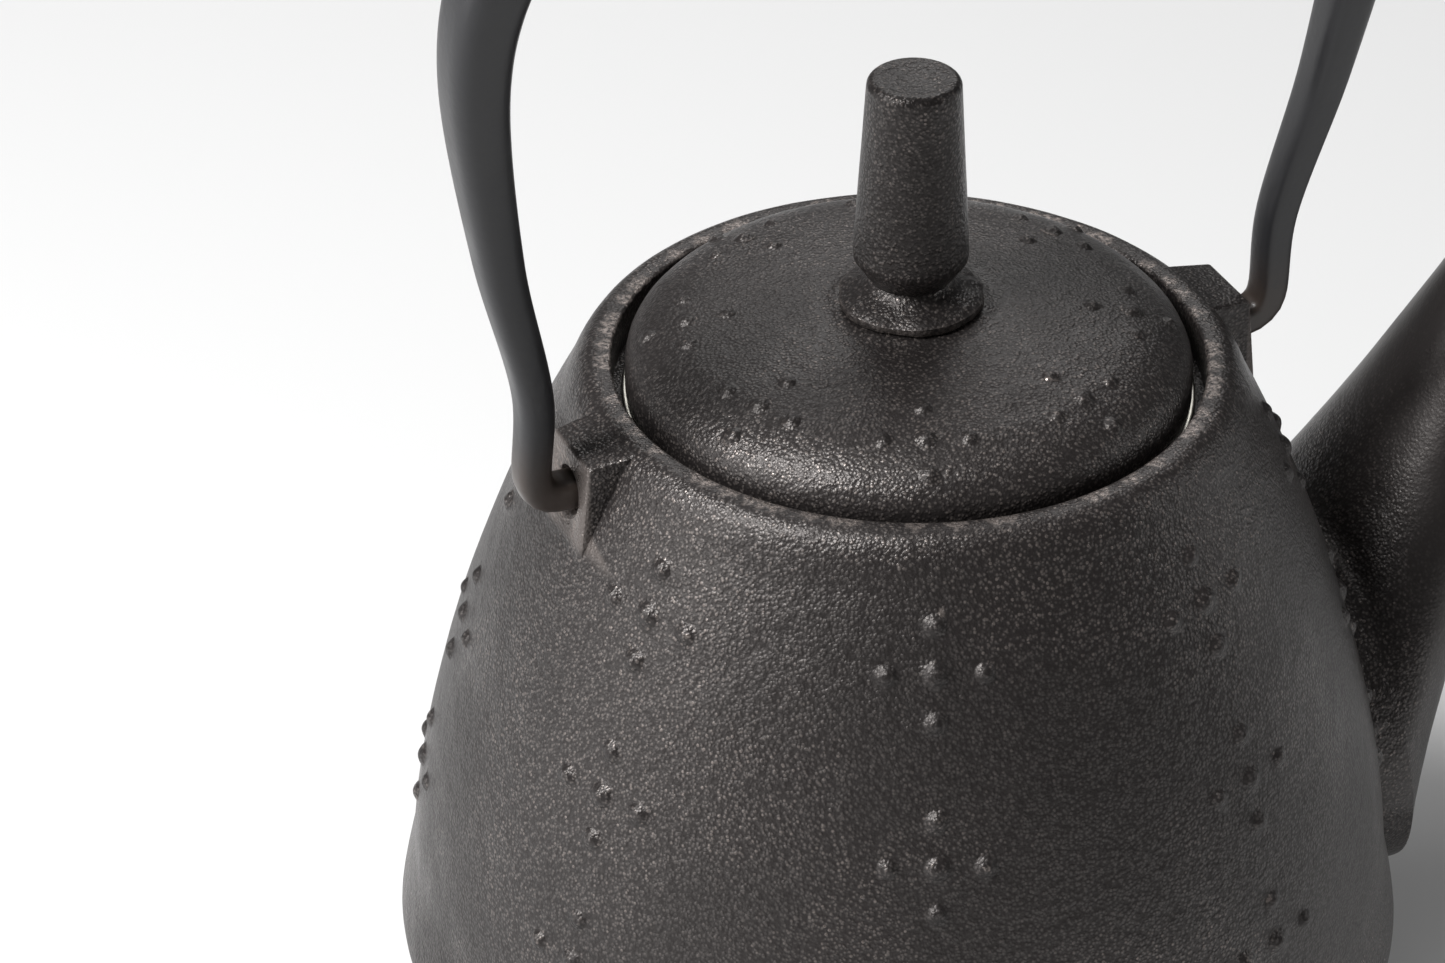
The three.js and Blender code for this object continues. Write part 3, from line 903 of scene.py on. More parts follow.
@functools.cache
def iron_material():
    """Black-brown baked iron: rough skin, dull and brighter patches, rubbed crests, grains and edges, and
    painted shade that dims the reflections in the grit's hollows.
    """
    look, finish = bpy.context.scene.teapot_iron, IRON_FINISH
    material, nodes, shader = new_material("baked_cast_iron", {"Specular Tint": colour(finish["tint"])})
    sizes = {"Grain Size": look.grain_size, "Patch Size": finish["patch_size"]}
    skin = place_group(nodes, skin_group(), sizes)
    rubbed = place_group(nodes, rubbed_group(), finish["edge_wear"])["Mask"]
    zones = place_group(nodes, lug_face_group(), {})

    def by_patch(pair):
        return nodes.remap(skin["Patches"], 0, 1, *pair)

    def on_spout(amount):
        return nodes.remap(zones["Spout"], 0, 1, 1.0, amount)

    crest = nodes.times(skin["Crests"], by_patch(finish["crest_wear"]))
    speck = nodes.times(skin["Specks"], by_patch(finish["speck_wear"]))
    grains = nodes.times(nodes.larger(crest, speck), on_spout(finish["spout_wear"]))
    edges = nodes.larger(rubbed, nodes.times(zones["Mask"], finish["lug_wear"]))
    worn = nodes.larger(grains, edges)
    bright = [channel * finish["patch_brightness"] for channel in look.coat]
    base = nodes.mix_colour(skin["Patches"], colour(look.coat), colour(bright))
    polish = nodes.times(worn, finish["worn_polish"])
    # Painted shade: the grit's hollows get a lower specular level than its crests, so their reflections are
    # dimmed.
    gloss_with_hollow_shade = nodes.remap(skin["Grit"], 0.35, 1.0, *finish["gloss_with_hollow_shade"])
    mixed = {0: zones["Spout"], 2: gloss_with_hollow_shade, 3: finish["spout_gloss"]}
    nodes.feed(shader["Base Color"], nodes.mix_colour(worn, base, colour(look.worn)))
    nodes.feed(shader["Roughness"], nodes.minus(by_patch(finish["roughness"]), polish))
    nodes.feed(shader["Metallic"], nodes.times(worn, finish["worn_metal"]))
    nodes.feed(shader["Specular IOR Level"], nodes.add("ShaderNodeMix", mixed, data_type="FLOAT").outputs[0])
    depth = nodes.times(look.grain_depth, on_spout(finish["spout_grain"]))
    raise_relief(nodes, shader, skin["Height"], depth)
    return material


@functools.cache
def enamel_material():
    """Smooth satin black of the handle, with a brown tint where it is rubbed at the hooks."""
    finish = ENAMEL_FINISH
    material, nodes, shader = new_material("satin_black_enamel", {"Specular IOR Level": 0.5})
    sizes = {"Grain Size": finish["grain_size"], "Patch Size": finish["patch_size"]}
    skin = place_group(nodes, skin_group(), sizes)
    rubbed = place_group(nodes, rubbed_group(), finish["edge_wear"])["Mask"]
    pivot = HANDLE["pivot_height"] * MM
    full, none = (pivot + rise for rise in finish["hook_fade"])
    hooks = nodes.remap(nodes.axes(nodes.object_place())[2], none, full)
    tint = nodes.times(hooks, nodes.remap(skin["Height"], 0.9, 1.5))
    worn = nodes.larger(tint, nodes.times(rubbed, hooks))
    dark, light = (colour(shade) for shade in finish["shades"])
    base = nodes.mix_colour(skin["Patches"], dark, light)
    nodes.feed(shader["Base Color"], nodes.mix_colour(worn, base, colour(finish["rubbed"])))
    nodes.feed(shader["Roughness"], nodes.remap(skin["Patches"], 0, 1, *finish["roughness"]))
    raise_relief(nodes, shader, skin["Height"], finish["ripple"])
    return material


def steel_material(name, light, dark, roughness, scratch):
    """Brushed steel in its own two shades, with a roughness from low to high along its scratches."""
    material, nodes, shader = new_material(name, {"Metallic": 1.0})
    sheet = place_group(nodes, brushed_group(), {"Scratch Size": scratch})
    nodes.feed(shader["Base Color"], nodes.mix_colour(sheet["Clouds"], colour(light), colour(dark)))
    nodes.feed(shader["Roughness"], nodes.remap(sheet["Scratches"], 0.3, 0.7, *roughness))
    raise_relief(nodes, shader, sheet["Scratches"], 0.00001)
    return material


@functools.cache
def stainless_material():
    """Stainless sheet of the strainer."""
    return steel_material("brushed_stainless", (0.60, 0.58, 0.52), (0.50, 0.48, 0.43), (0.24, 0.38), 0.0003)


@functools.cache
def fixing_material():
    """Plain machined steel of the knob's screw and washer."""
    return steel_material("machined_steel", (0.34, 0.33, 0.32), (0.24, 0.23, 0.22), (0.32, 0.46), 0.0002)


# ------------------------------------------------------------------ pot body


def body_side():
    """The visible side of the body, from the foot's outer edge up to the rim's flat top."""
    base = (POT["base_radius"], 0)
    belly = (POT["belly_radius"], POT["belly_height"])
    parting = (POT["parting_radius"], POT["parting_height"])
    rim = (POT["rim_radius"], POT["rim_height"])
    return [
        base,
        *curve_points(base, BODY_CURVES["belly"], belly, 26),
        *curve_points(belly, BODY_CURVES["bulge"], parting, 10),
        *curve_points(parting, BODY_CURVES["flank"], POT["shoulder"], 54),
        *curve_points(POT["shoulder"], BODY_CURVES["rim"], rim, 10),
    ]


def body_outline():
    """Outside of the body with its foot ring, closed over the top."""
    recess, inner = POT["foot_recess"], POT["foot_inner"]
    return [
        (0, recess),
        (inner - 3, recess),
        (inner, 0.15),
        (inner + 1, 0),
        (POT["base_radius"] - 1, 0),
        *body_side(),
        (0, POT["rim_height"]),
    ]


def hollow_outline():
    """Inside of the body: the hollow, the strainer's ledge and the mouth with a softened edge."""
    floor_edge = (POT["hollow_floor_radius"], POT["floor"])
    belly = (POT["belly_radius"] - POT["wall"], POT["belly_height"])
    ledge, ledge_z = POT["ledge_radius"], POT["ledge_height"]
    mouth, top = POT["mouth_radius"], POT["rim_height"]
    return [
        (0, POT["floor"]),
        floor_edge,
        *curve_points(floor_edge, BODY_CURVES["hollow_belly"], belly, 12),
        *curve_points(belly, BODY_CURVES["hollow_flank"], POT["hollow_shoulder"], 20),
        (ledge, ledge_z - POT["ledge_drop"]),
        (ledge, ledge_z),
        (mouth, ledge_z),
        (mouth, top - 0.5),
        (mouth + 0.15, top - 0.15),
        (mouth + 0.5, top + 0.01),
        (mouth + 0.5, top + 1),
        (0, top + 1),
    ]


def quadratic(points, t):
    """A point on a quadratic curve through three points or three numbers."""
    start, pull, end = (np.array(p, dtype=float) for p in points)
    return (1 - t) ** 2 * start + 2 * t * (1 - t) * pull + t ** 2 * end


class SideSurface:
    """Distance from the body's side, and the direction straight out of it."""

    def __init__(self):
        side = np.array(body_side())
        rising = side[np.argsort(side[:, 1], kind="stable")]
        self.heights = rising[:, 1]
        self.radii = rising[:, 0]

    def at(self, point):
        x, y, z = point
        radius = np.interp(z, self.heights, self.radii)
        slope = (np.interp(z + 2, self.heights, self.radii) - np.interp(z - 2, self.heights, self.radii)) / 4
        around = math.hypot(x, y)
        out = np.array([x / around, y / around, -slope])
        length = np.linalg.norm(out)
        return (around - radius) / length, out / length


def spout_ring(t, inset, side_surface=None):
    """One oval ring of the spout; near the body it spreads into a soft corner."""
    upper, lower = quadratic(SPOUT["upper"], t), quadratic(SPOUT["lower"], t)
    centre = (upper + lower) / 2
    rise = (upper - centre) / np.linalg.norm(upper - centre)
    half_height = np.linalg.norm(upper - centre) - inset
    half_width = float(quadratic(SPOUT["half_widths"], t)) - inset
    middle = np.array([centre[0], 0, centre[1]])
    ring = []
    for i in range(SPOUT["sides"]):
        turn = 2 * math.pi * i / SPOUT["sides"]
        spoke = np.array([
            rise[0] * half_height * math.cos(turn),
            -half_width * math.sin(turn),
            rise[1] * half_height * math.cos(turn),
        ])
        point = middle + spoke
        if side_surface:
            distance, out = side_surface.at(point)
            fillet = SPOUT["fillet"]
            near = fillet - min(max(distance, 0), fillet)
            spread = fillet - math.sqrt(fillet ** 2 - near ** 2)
            direction = spoke / np.linalg.norm(spoke)
            point = point + spread * (direction - out * direction.dot(out))
        ring.append(point)
    return ring


def moved(ring, x, z):
    """A ring carried along X and Z."""
    return [np.array(point) + (x, 0, z) for point in ring]


def make_horn(side_surface):
    """The solid outside of the spout, sunk into the body at its root, with a rounded lip."""
    steps, lip, share = SPOUT["steps"], SPOUT["tip_round"], SPOUT["lip_share"]
    rings = [moved(spout_ring(0, 0, side_surface), -SPOUT["root_inset"], 0)]
    rings += [spout_ring(t, 0, side_surface) for t in np.linspace(0, 1 - share, steps)]
    for degrees in (30, 60, 90):
        turn = math.radians(degrees)
        rings.append(spout_ring(1 - share * (1 - math.sin(turn)), lip * (1 - math.cos(turn))))
    return lofted("horn", rings)


def make_horn_hollow():
    """The spout's hollow, from inside the body to past its lip."""
    marks = np.linspace(0, 1, SPOUT["hollow_steps"])
    wall = [float(quadratic(SPOUT["wall"], t)) for t in marks]
    rings = [moved(spout_ring(0, wall[0]), -SPOUT["root_inset"], 0)]
    rings += [spout_ring(t, inset) for t, inset in zip(marks, wall)]
    rings.append(moved(spout_ring(1, wall[-1]), *SPOUT["mouth_run"]))
    return lofted("horn_hollow", rings)


def make_lug(side):
    """A wedge on the shoulder with a steep outer face, spreading sides and rounded edges."""
    reach, foot, root = (LUG[key] * side for key in ("reach", "foot_reach", "root"))
    low = LUG["foot_height"]

    def end_face(half_width, below, above, top):
        across = half_width * side
        return [(below, -across, low), (below, across, low), (above, across, top), (above, -across, top)]

    back = end_face(LUG["root_half_width"], root, root, LUG["root_height"])
    face = end_face(LUG["half_width"], foot, reach, LUG["top_height"])
    wedge = lofted("lug", [back, face])
    bevel(wedge, LUG["edge"])
    return wedge


def cut_pin_hole(piece, side):
    """A blind hole for the handle's pin, with a rubbed chamfer at its edge."""
    height = HANDLE["pivot_height"]
    radius, chamfer = LUG["hole_radius"], LUG["hole_chamfer"]
    share = (LUG["top_height"] - height) / (LUG["top_height"] - LUG["foot_height"])
    face = LUG["reach"] + (LUG["foot_reach"] - LUG["reach"]) * share
    end = (side * (LUG["reach"] - LUG["hole_depth"]), 0, height)
    combine(piece, rod("pin_hole", radius, end, (side * (face + 2), 0, height)), "DIFFERENCE")
    inner = (side * (face - chamfer), 0, height)
    outer = (side * (face + 0.5), 0, height)
    cone = rod("hole_edge", radius - 0.01, inner, outer, end_radius=radius + chamfer + 0.5)
    combine(piece, cone, "DIFFERENCE")


def body_dots(body, name, values):
    """The raised dots of a casting, dropped on its own surface."""
    dots = bpy.context.scene.teapot_dots
    shared = {
        "Columns": dots.columns,
        "Sink": 0.1 * MM,
        "Seed": dots.seed,
        "Material": iron_material(),
    }
    return grown(name, body, dot_tree(), shared | values)


class TEAPOT_OT_pot_body(bpy.types.Operator):
    """Casts the body with its spout, lugs and raised dots"""

    bl_idname = "teapot.pot_body"
    bl_label = "Pot Body"

    def execute(self, context):
        dots = context.scene.teapot_dots
        segments = POT["segments"]
        body = turned("pot_casting", body_outline(), segments)
        raised = body_dots(body, "body_dots", {
            "Rows": dots.rows,
            "From Above": False,
            "Start Radius": 0.12,
            "Top Height": dots.top_height,
            "Row Step": dots.row_step,
            "Arm": dots.arm,
            "Dot Radius": dots.radius,
            "Dot Height": dots.height,
        })
        combine(body, make_horn(SideSurface()), "UNION")
        for side in (-1, 1):
            combine(body, make_lug(side), "UNION")
        combine(body, raised, "UNION")
        combine(body, turned("hollow", hollow_outline(), segments // 2), "DIFFERENCE")
        combine(body, make_horn_hollow(), "DIFFERENCE")
        for side in (-1, 1):
            cut_pin_hole(body, side)
        swell_surface(body, context.scene.teapot_iron.swell, keep_mouth_and_foot)
        smooth(body)
        finish_piece(body, "pot", ["pot_body"], iron_material())
        return {"FINISHED"}


def keep_mouth_and_foot(x, y, z):
    """The foot, the mouth, the ledge and the pin holes stay true."""
    foot = 1 - min(max(z / 6, 0), 1)
    mouth = 1.0 if math.hypot(x, y) < POT["mouth_radius"] + 1.2 and z > POT["hollow_shoulder"][1] else 0.0
    pins = 1.0 if abs(y) < 9 and abs(x) < 52 and z > LUG["foot_height"] else 0.0
    return max(foot, mouth, pins)


# ------------------------------------------------------------------ handle


def handle_points():
    """Points on the bail's centre line from one pin's end to the other, as (x, height)."""
    bend, foot = HANDLE["bend_radius"], HANDLE["foot"]
    half = [(HANDLE["pin_end"], 0), (foot - bend, 0)]
    for degrees in HANDLE["bend_angles"]:
        turn = math.radians(degrees)
        half.append((foot - bend + bend * math.cos(turn), bend + bend * math.sin(turn)))
    half += [HANDLE["waist"], HANDLE["flare"]]
    for degrees in HANDLE["arch_angles"]:
        turn = math.radians(degrees)
        half.append((
            HANDLE["arch_half_width"] * max(math.cos(turn), 0) ** (2 / HANDLE["arch_power"]),
            HANDLE["arch_base"] + HANDLE["arch_rise"] * math.sin(turn) ** (2 / HANDLE["arch_power"]),
        ))
    return half + [(-x, height) for x, height in reversed(half[:-1])]


def centripetal_curve(points, steps_each):
    """A smooth curve through all the points, without loops where they lie close together."""
    p = np.array(points, dtype=float)
    p = np.vstack([2 * p[0] - p[1], p, 2 * p[-1] - p[-2]])
    curve = []
    for i in range(1, len(p) - 2):
        a, b, c, d = p[i - 1:i + 3]
        before, here, after = (max(np.linalg.norm(step) ** 0.5, 1e-4) for step in (b - a, c - b, d - c))
        start = here * ((b - a) / before - (c - a) / (before + here) + (c - b) / here)
        end = here * ((c - b) / here - (d - b) / (here + after) + (d - c) / after)
        t = np.linspace(0, 1, steps_each, endpoint=False)[:, None]
        cubic = 2 * b - 2 * c + start + end
        square = -3 * b + 3 * c - 2 * start - end
        curve.append(b + start * t + square * t ** 2 + cubic * t ** 3)
    return np.vstack([*curve, p[-2]])


def evenly(curve, steps):
    """Points at equal distances along a curve."""
    lengths = np.concatenate([[0], np.cumsum(np.linalg.norm(np.diff(curve, axis=0), axis=1))])
    marks = np.linspace(0, lengths[-1], steps + 1)
    return np.stack([np.interp(marks, lengths, curve[:, axis]) for axis in (0, 1)], axis=1)


def smoothstep(value, low, high):
    """0 below low, 1 above high, and a smooth rise between."""
    t = min(max((value - low) / (high - low), 0), 1)
    return t * t * (3 - 2 * t)


def bar_ring(centre, direction, half_thickness, half_width):
    """One ring of the bar: a square with round corners, square to the path."""
    across = Vector((direction[1], 0, -direction[0]))
    ring = []
    for i in range(HANDLE["sides"]):
        turn = 2 * math.pi * i / HANDLE["sides"]
        u, v = math.cos(turn), math.sin(turn)
        bulge = 2 / HANDLE["section_power"]
        point = Vector((centre[0], 0, centre[1]))
        point += across * (half_thickness * math.copysign(abs(u) ** bulge, u))
        point += Vector((0, half_width * math.copysign(abs(v) ** bulge, v), 0))
        ring.append(point)
    return ring


class TEAPOT_OT_handle(bpy.types.Operator):
    """Forges the bail handle: thin hooks swelling to a thick grip"""

    bl_idname = "teapot.handle"
    bl_label = "Bail Handle"

    def execute(self, context):
        path = evenly(centripetal_curve(handle_points(), 60), HANDLE["steps"])
        along = np.gradient(path, axis=0)
        lean = Matrix.Rotation(math.radians(HANDLE["lean_degrees"]), 3, "X")
        pivot = Vector((0, 0, HANDLE["pivot_height"]))
        hook, grip = HANDLE["hook_thickness"], HANDLE["grip_thickness"]
        rings = []
        for i, (centre, direction) in enumerate(zip(path, along)):
            to_crown = 1 - abs(2 * i / HANDLE["steps"] - 1)
            half = (hook + (grip - hook) * smoothstep(to_crown, *HANDLE["swell"])) / 2
            width = half * (1 + (HANDLE["grip_width_ratio"] - 1) * to_crown)
            ring = bar_ring(centre, direction / np.linalg.norm(direction), half, width)
            rings.append([pivot + lean @ point for point in ring])
        bail = lofted("bail_handle", rings)
        smooth(bail)
        finish_piece(bail, "handle", ["handle"], enamel_material())
        return {"FINISHED"}


# ------------------------------------------------------------------ lid and knob


def lid_outline():
    """Outside of the lid from below: flat underside edge, shoulder, dome and the boss under the knob."""
    radius, bottom, side_top = LID["radius"], LID["bottom"], LID["side_top"]
    seat, top = LID["seat_radius"], LID["seat_height"]
    edge = (radius, side_top)
    return [
        (0, bottom),
        (radius - 0.4, bottom),
        (radius, bottom + 0.4),
        *line_points((radius, bottom + 0.4), edge, 3),
        *curve_points(edge, LID["shoulder_pulls"], LID["dome_shoulder"], 16),
        *curve_points(LID["dome_shoulder"], LID["dome_pulls"], (seat + 1.2, LID["dome_top"]), 16),
        (seat + 0.5, LID["dome_top"] + 0.12),
        (seat, top - 0.08),
        (seat - 0.7, top),
        (0, top),
    ]


class TEAPOT_OT_lid(bpy.types.Operator):
    """Casts the lid with its crosses of dots, its underside and its locating ring"""

    bl_idname = "teapot.lid"
    bl_label = "Lid"

    def execute(self, context):
        dots = context.scene.teapot_dots
        segments = LID["segments"]
        lid = turned("lid_casting", lid_outline(), segments)
        raised = body_dots(lid, "lid_dots", {
            "Rows": 1,
            "From Above": True,
            "Start Radius": dots.lid_ring,
            "Top Height": 0.15,
            "Row Step": 0.0,
            "Arm": dots.lid_arm,
            "Dot Radius": dots.radius * LID["dot_radius_share"],
            "Dot Height": dots.height * LID["dot_height_share"],
        })
        combine(lid, raised, "UNION")
        below = LID["bottom"] - 1
        edge, bend, flat = LID["underside"]
        hollow = [(0, below), (edge[0], below), edge, bend, flat, (0, flat[1])]
        combine(lid, turned("lid_hollow", hollow, segments // 2), "DIFFERENCE")
        inner, outer = LID["skirt_inner"], LID["skirt_outer"]
        low, high = LID["skirt_bottom"], LID["skirt_top"]
        skirt = [(inner, low), (outer, low), (outer, high), (inner, high), (inner, low)]
        combine(lid, turned("skirt", skirt, segments // 2), "UNION")
        hole = rod("screw_hole", LID["hole_radius"], (0, 0, low), (0, 0, LID["seat_height"] + 1))
        combine(lid, hole, "DIFFERENCE")
        swell_surface(lid, context.scene.teapot_iron.swell, keep_lid_fit)
        smooth(lid)
        finish_piece(lid, "lid", ["lid"], iron_material())
        return {"FINISHED"}


def keep_lid_fit(x, y, z):
    """Only the dome wanders: the side, the underside and the knob's seat stay true."""
    radius = math.hypot(x, y)
    on_dome = z > LID["side_top"] + 0.5 and radius > LID["seat_radius"] + 1
    return 0.0 if on_dome and z > LID["underside"][0][1] + 2.5 * (1 - radius / LID["radius"]) else 1.0


class TEAPOT_OT_knob(bpy.types.Operator):
    """Casts the tapered knob with its flared foot and its slightly hollow top"""

    bl_idname = "teapot.knob"
    bl_label = "Knob"

    def execute(self, context):
        bottom = LID["seat_height"] + GAP
        foot, edge = KNOB["foot_radius"], KNOB["foot_edge"]
        wide, top, height = KNOB["wide"], KNOB["top_radius"], KNOB["top_height"]
        round_off = KNOB["top_edge"]
        foot_top = (foot - 0.35, bottom + edge)
        outline = [
            (0, bottom),
            (foot - 0.2, bottom),
            (foot, bottom + 0.3),
            (foot, bottom + edge - 0.25),
            foot_top,
            *curve_points(foot_top, KNOB["foot_pulls"], KNOB["neck"], 12),
            *line_points(KNOB["neck"], (wide[0] - 0.5, wide[1] - 0.9), 6),
            (wide[0] - 0.12, wide[1] - 0.3),
            (wide[0] - 0.05, wide[1] + 0.5),
            *line_points((wide[0] - 0.05, wide[1] + 0.5), (top, height - round_off), 24),
            *arc_points((top - round_off, height - round_off), round_off, 15, 90, 6),
            (top - 2.2, height - 0.12),
            (top - 3.6, height - KNOB["top_dish"]),
            (0, height - KNOB["top_dish"]),
        ]
        knob = turned("knob_casting", outline, KNOB["segments"])
        hole = rod("knob_hole", LID["hole_radius"], (0, 0, bottom - 1), (0, 0, KNOB["hole_top"]))
        combine(knob, hole, "DIFFERENCE")
        grind_foot(knob)
        swell_surface(knob, context.scene.teapot_iron.swell, keep_knob_fit)
        smooth(knob)
        finish_piece(knob, "lid", ["knob"], iron_material())
        return {"FINISHED"}


def grind_foot(knob):
    """Makes the edge of the knob's foot wander, in and out and up and down, above its flat underside."""
    seat = LID["seat_height"] + GAP
    for vertex in knob.data.vertices:
        x, y, z = vertex.co / MM
        radius = math.hypot(x, y)
        share = smoothstep(radius, KNOB["neck"][0] + 0.6, KNOB["foot_radius"] - 0.5)
        if z < KNOB["neck"][1] and share > 0:
            way = Vector((x, y, 0)) / radius
            slow, quick = (noise.noise(way * size + Vector((0, 0, size))) for size in (1.3, 5.5))
            wander = KNOB["foot_wander"] * share * (slow + 0.6 * quick)
            vertex.co.xy *= 1 + min(wander, 0.35) / radius
            vertex.co.z += MM * 0.7 * wander * min((z - seat) / KNOB["foot_edge"], 1)


def keep_knob_fit(x, y, z):
    """The underside and the screw's hole stay true."""
    return 1.0 if z < LID["seat_height"] + 1 or math.hypot(x, y) < LID["hole_radius"] + 0.5 else 0.2


class TEAPOT_OT_knob_fixing(bpy.types.Operator):
    """Turns the knob's washer and socket screw"""

    bl_idname = "teapot.knob_fixing"
    bl_label = "Knob Screw and Washer"

    def execute(self, context):
        underside = LID["seat_height"] - LID["skin"]
        top = underside - GAP
        low, edge, inner = top - WASHER["thickness"], WASHER["edge"], LID["hole_radius"]
        outer = WASHER["radius"]
        washer = turned("screw_washer", [
            (inner, low), (outer - edge, low), (outer, low + edge), (outer, top - edge),
            (outer - edge, top), (inner, top), (inner, low),
        ], FIXING_SEGMENTS)
        smooth(washer)
        finish_piece(washer, "lid", ["knob_washer"], fixing_material())

        head_top = low - GAP
        head = head_top - SCREW["head_height"]
        radius, shank, chamfer = SCREW["head_radius"], SCREW["shank_radius"], SCREW["chamfer"]
        screw = turned("socket_screw", [
            (0, head), (radius - chamfer, head), (radius - 0.25, head + 0.2), (radius, head + chamfer),
            (radius, head_top - 0.2), (radius - 0.2, head_top), (shank, head_top),
            (shank, SCREW["shank_top"] - 0.6), (shank - 0.6, SCREW["shank_top"]), (0, SCREW["shank_top"]),
        ], FIXING_SEGMENTS)
        depth = SCREW["socket_depth"]
        socket = rod("socket", SCREW["socket_radius"], (0, 0, head - depth), (0, 0, head + depth), sides=6)
        combine(screw, socket, "DIFFERENCE")
        smooth(screw)
        finish_piece(screw, "lid", ["knob_screw"], fixing_material())
        return {"FINISHED"}


# ------------------------------------------------------------------ strainer


class TEAPOT_OT_strainer(bpy.types.Operator):
    """Makes the strainer: pressed flange, perforated wall and floor, and the band that holds them"""

    bl_idname = "teapot.strainer"
    bl_label = "Strainer"

    def execute(self, context):
        flange = POT["ledge_height"] + GAP
        self.make_rim(flange)
        self.make_wall(context.scene.teapot_strainer, flange)
        self.make_floor(context.scene.teapot_strainer)
        self.make_band()
        return {"FINISHED"}

    def make_rim(self, flange):
        outer, inner = STRAINER["collar_outer"], STRAINER["collar_inner"]
        reach, top = STRAINER["flange_radius"], flange + STRAINER["flange_thickness"]
        bottom, edge = STRAINER["collar_bottom"], STRAINER["flange_thickness"] / 2
        rim = turned("strainer_flange", [
            (inner, bottom), (outer - 0.1, bottom), (outer, bottom + 0.1), (outer, flange - 0.25),
            (outer + 0.25, flange), *arc_points((reach - edge, flange + edge), edge, -90, 90, 8),
            (inner + 0.9, top), (inner + 0.35, top - 0.2), (inner, top - 0.8), (inner, bottom),
        ], STRAINER["segments"])
        smooth(rim)
        finish_piece(rim, "strainer", ["strainer_rim"], stainless_material())

    def make_wall(self, holes, flange):
        inner, outer = STRAINER["wall_inner"], STRAINER["wall_outer"]
        low = STRAINER["bottom"] + 2 * STRAINER["sheet"] + 2 * GAP
        segments = holes.columns * 2
        wall = turned("strainer_mesh", [
            (inner, low), (outer, low), (outer, flange), (inner, flange), (inner, low),
        ], segments)
        first = STRAINER["bottom"] + STRAINER["band_height"] + STRAINER["margin"]
        drills = grown("wall_drills", wall, drill_tree(), {
            "Upright": False,
            "Columns": holes.columns,
            "Rows": holes.rows,
            "Pitch": holes.pitch,
            "Start Height": first * MM,
            "Radius": (inner + outer) / 2 * MM,
            "Hole Radius": holes.hole_radius,
            "Length": STRAINER["drill_length"] * MM,
            "Material": stainless_material(),
        })
        combine(wall, drills, "DIFFERENCE")
        smooth(wall)
        finish_piece(wall, "strainer", ["strainer_wall"], stainless_material())

    def make_floor(self, holes):
        low = STRAINER["bottom"] + STRAINER["sheet"] + GAP
        top = low + STRAINER["sheet"]
        radius = STRAINER["wall_outer"]
        floor = turned("strainer_disc", [
            (0, low), (radius - 0.1, low), (radius, low + 0.1),
            (radius, top - 0.1), (radius - 0.1, top), (0, top),
        ], STRAINER["floor_segments"])
        drills = grown("floor_drills", floor, drill_tree(), {
            "Upright": True,
            "Columns": STRAINER["floor_columns"],
            "Rows": STRAINER["floor_rows"],
            "Pitch": holes.pitch,
            "Start Height": (low + top) / 2 * MM,
            "Radius": (STRAINER["band_lip"] - STRAINER["margin"]) * MM,
            "Hole Radius": holes.hole_radius,
            "Length": STRAINER["drill_length"] * MM,
            "Material": stainless_material(),
        })
        combine(floor, drills, "DIFFERENCE")
        smooth(floor)
        finish_piece(floor, "strainer", ["strainer_floor"], stainless_material())

    def make_band(self):
        bottom, sheet, lip = STRAINER["bottom"], STRAINER["sheet"], STRAINER["band_lip"]
        inner = STRAINER["wall_outer"] + GAP
        outer, top = inner + sheet, bottom + STRAINER["band_height"]
        band = turned("strainer_foot_band", [
            (lip, bottom), (outer - 0.35, bottom), (outer - 0.1, bottom + 0.1), (outer, bottom + 0.35),
            (outer, top - 0.1), (outer - 0.1, top), (inner, top), (inner, bottom + sheet),
            (lip, bottom + sheet), (lip, bottom),
        ], STRAINER["segments"])
        smooth(band)
        finish_piece(band, "strainer", ["strainer_band"], stainless_material())


# ------------------------------------------------------------------ stage


def softbox(name, location, sides, watts, spread_degrees):
    """A light that points at the pot, with a grid that keeps its beam within an angle."""
    data = bpy.data.lights.new(name, "AREA")
    data.shape = "RECTANGLE"
    data.size, data.size_y = sides
    data.energy = watts
    data.spread = math.radians(spread_degrees)
    lamp = new_object(name, data)
    lamp.location = location
    aim = Vector(LIGHT_AIM) - Vector(location)
    lamp.rotation_euler = aim.to_track_quat("-Z", "Y").to_euler()


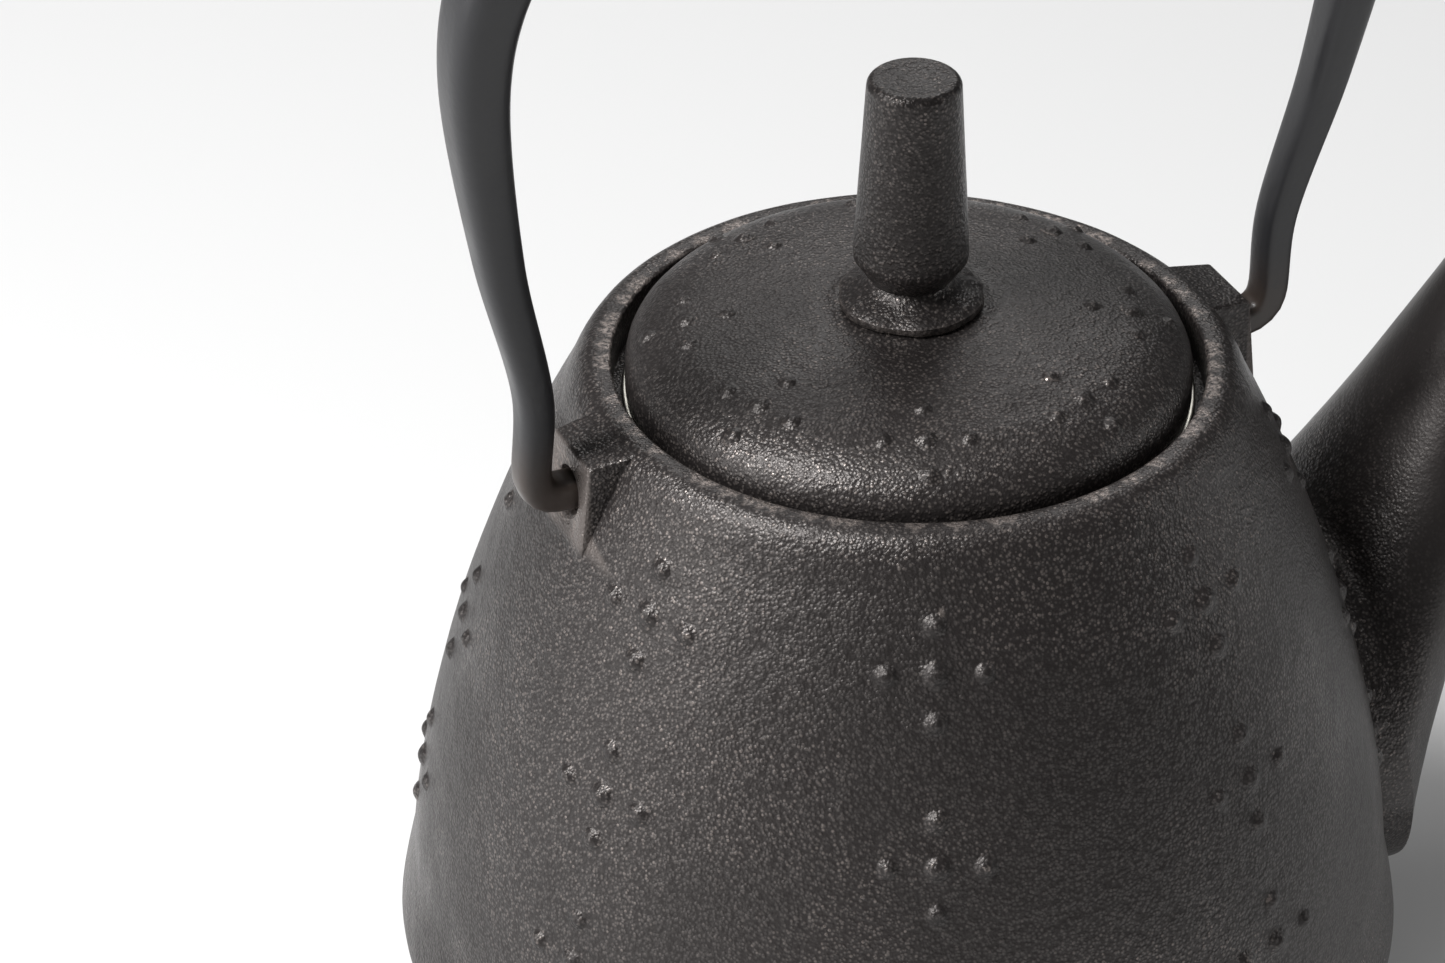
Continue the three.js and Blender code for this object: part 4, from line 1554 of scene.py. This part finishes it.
class TEAPOT_OT_stage(bpy.types.Operator):
    """Sets up the pale floor, the soft light and the camera"""

    bl_idname = "teapot.stage"
    bl_label = "Stage"

    def execute(self, context):
        studio = context.scene.teapot_studio
        self.make_floor(studio)
        self.make_light(context, studio)
        self.make_camera(context, studio)
        context.scene.view_settings.view_transform = "Standard"
        return {"FINISHED"}

    def make_floor(self, studio):
        half = FLOOR_HALF
        mesh = bpy.data.meshes.new("floor")
        corners = [(-half, -half, 0), (half, -half, 0), (half, half, 0), (-half, half, 0)]
        mesh.from_pydata(corners, [], [(0, 1, 2, 3)])
        floor = new_object("floor", mesh)
        material, _, shader = new_material("pale_floor", {"Roughness": 0.9, "Specular IOR Level": 0.1})
        shader["Base Color"].default_value = colour(studio.floor)
        mesh.materials.append(material)

    def make_light(self, context, studio):
        world = bpy.data.worlds.new("room")
        world.use_nodes = True
        background = world.node_tree.nodes["Background"].inputs
        background["Color"].default_value = (1, 1, 1, 1)
        background["Strength"].default_value = studio.sky
        context.scene.world = world
        for light in SOFTBOXES:
            softbox(*light)

    def make_camera(self, context, studio):
        camera = bpy.data.cameras.new("camera")
        camera.sensor_width = 36
        camera.lens = studio.lens
        eye = new_object("camera", camera)
        eye.location = studio.eye
        direction = Vector(studio.aim) - Vector(studio.eye)
        eye.rotation_euler = direction.to_track_quat("-Z", "Y").to_euler()
        context.scene.camera = eye


# ------------------------------------------------------------------ add-on


SETTINGS = {
    "teapot_iron": TeapotIronSettings,
    "teapot_dots": TeapotDotSettings,
    "teapot_strainer": TeapotStrainerSettings,
    "teapot_studio": TeapotStudioSettings,
}
OPERATORS = (
    TEAPOT_OT_stage,
    TEAPOT_OT_pot_body,
    TEAPOT_OT_handle,
    TEAPOT_OT_lid,
    TEAPOT_OT_knob,
    TEAPOT_OT_knob_fixing,
    TEAPOT_OT_strainer,
)


class TEAPOT_PT_sidebar(bpy.types.Panel):
    """Lists the teapot's pieces and settings in the sidebar."""

    bl_idname = "TEAPOT_PT_sidebar"
    bl_label = "Cast Iron Teapot"
    bl_space_type = "VIEW_3D"
    bl_region_type = "UI"
    bl_category = "Teapot"

    def draw(self, context):
        for operator in OPERATORS:
            self.layout.operator(operator.bl_idname)
        for name in SETTINGS:
            settings = getattr(context.scene, name)
            box = self.layout.box()
            for key in settings.bl_rna.properties.keys():
                if key not in {"rna_type", "name"}:
                    box.prop(settings, key)


CLASSES = (*SETTINGS.values(), *OPERATORS, TEAPOT_PT_sidebar)


def register():
    for item in CLASSES:
        bpy.utils.register_class(item)
    for name, group in SETTINGS.items():
        setattr(bpy.types.Scene, name, bpy.props.PointerProperty(type=group))


def unregister():
    for name in SETTINGS:
        delattr(bpy.types.Scene, name)
    for item in reversed(CLASSES):
        bpy.utils.unregister_class(item)


def main():
    register()
    for operator in OPERATORS:
        group, name = operator.bl_idname.split(".")
        getattr(getattr(bpy.ops, group), name)()


if __name__ == "__main__":
    main()
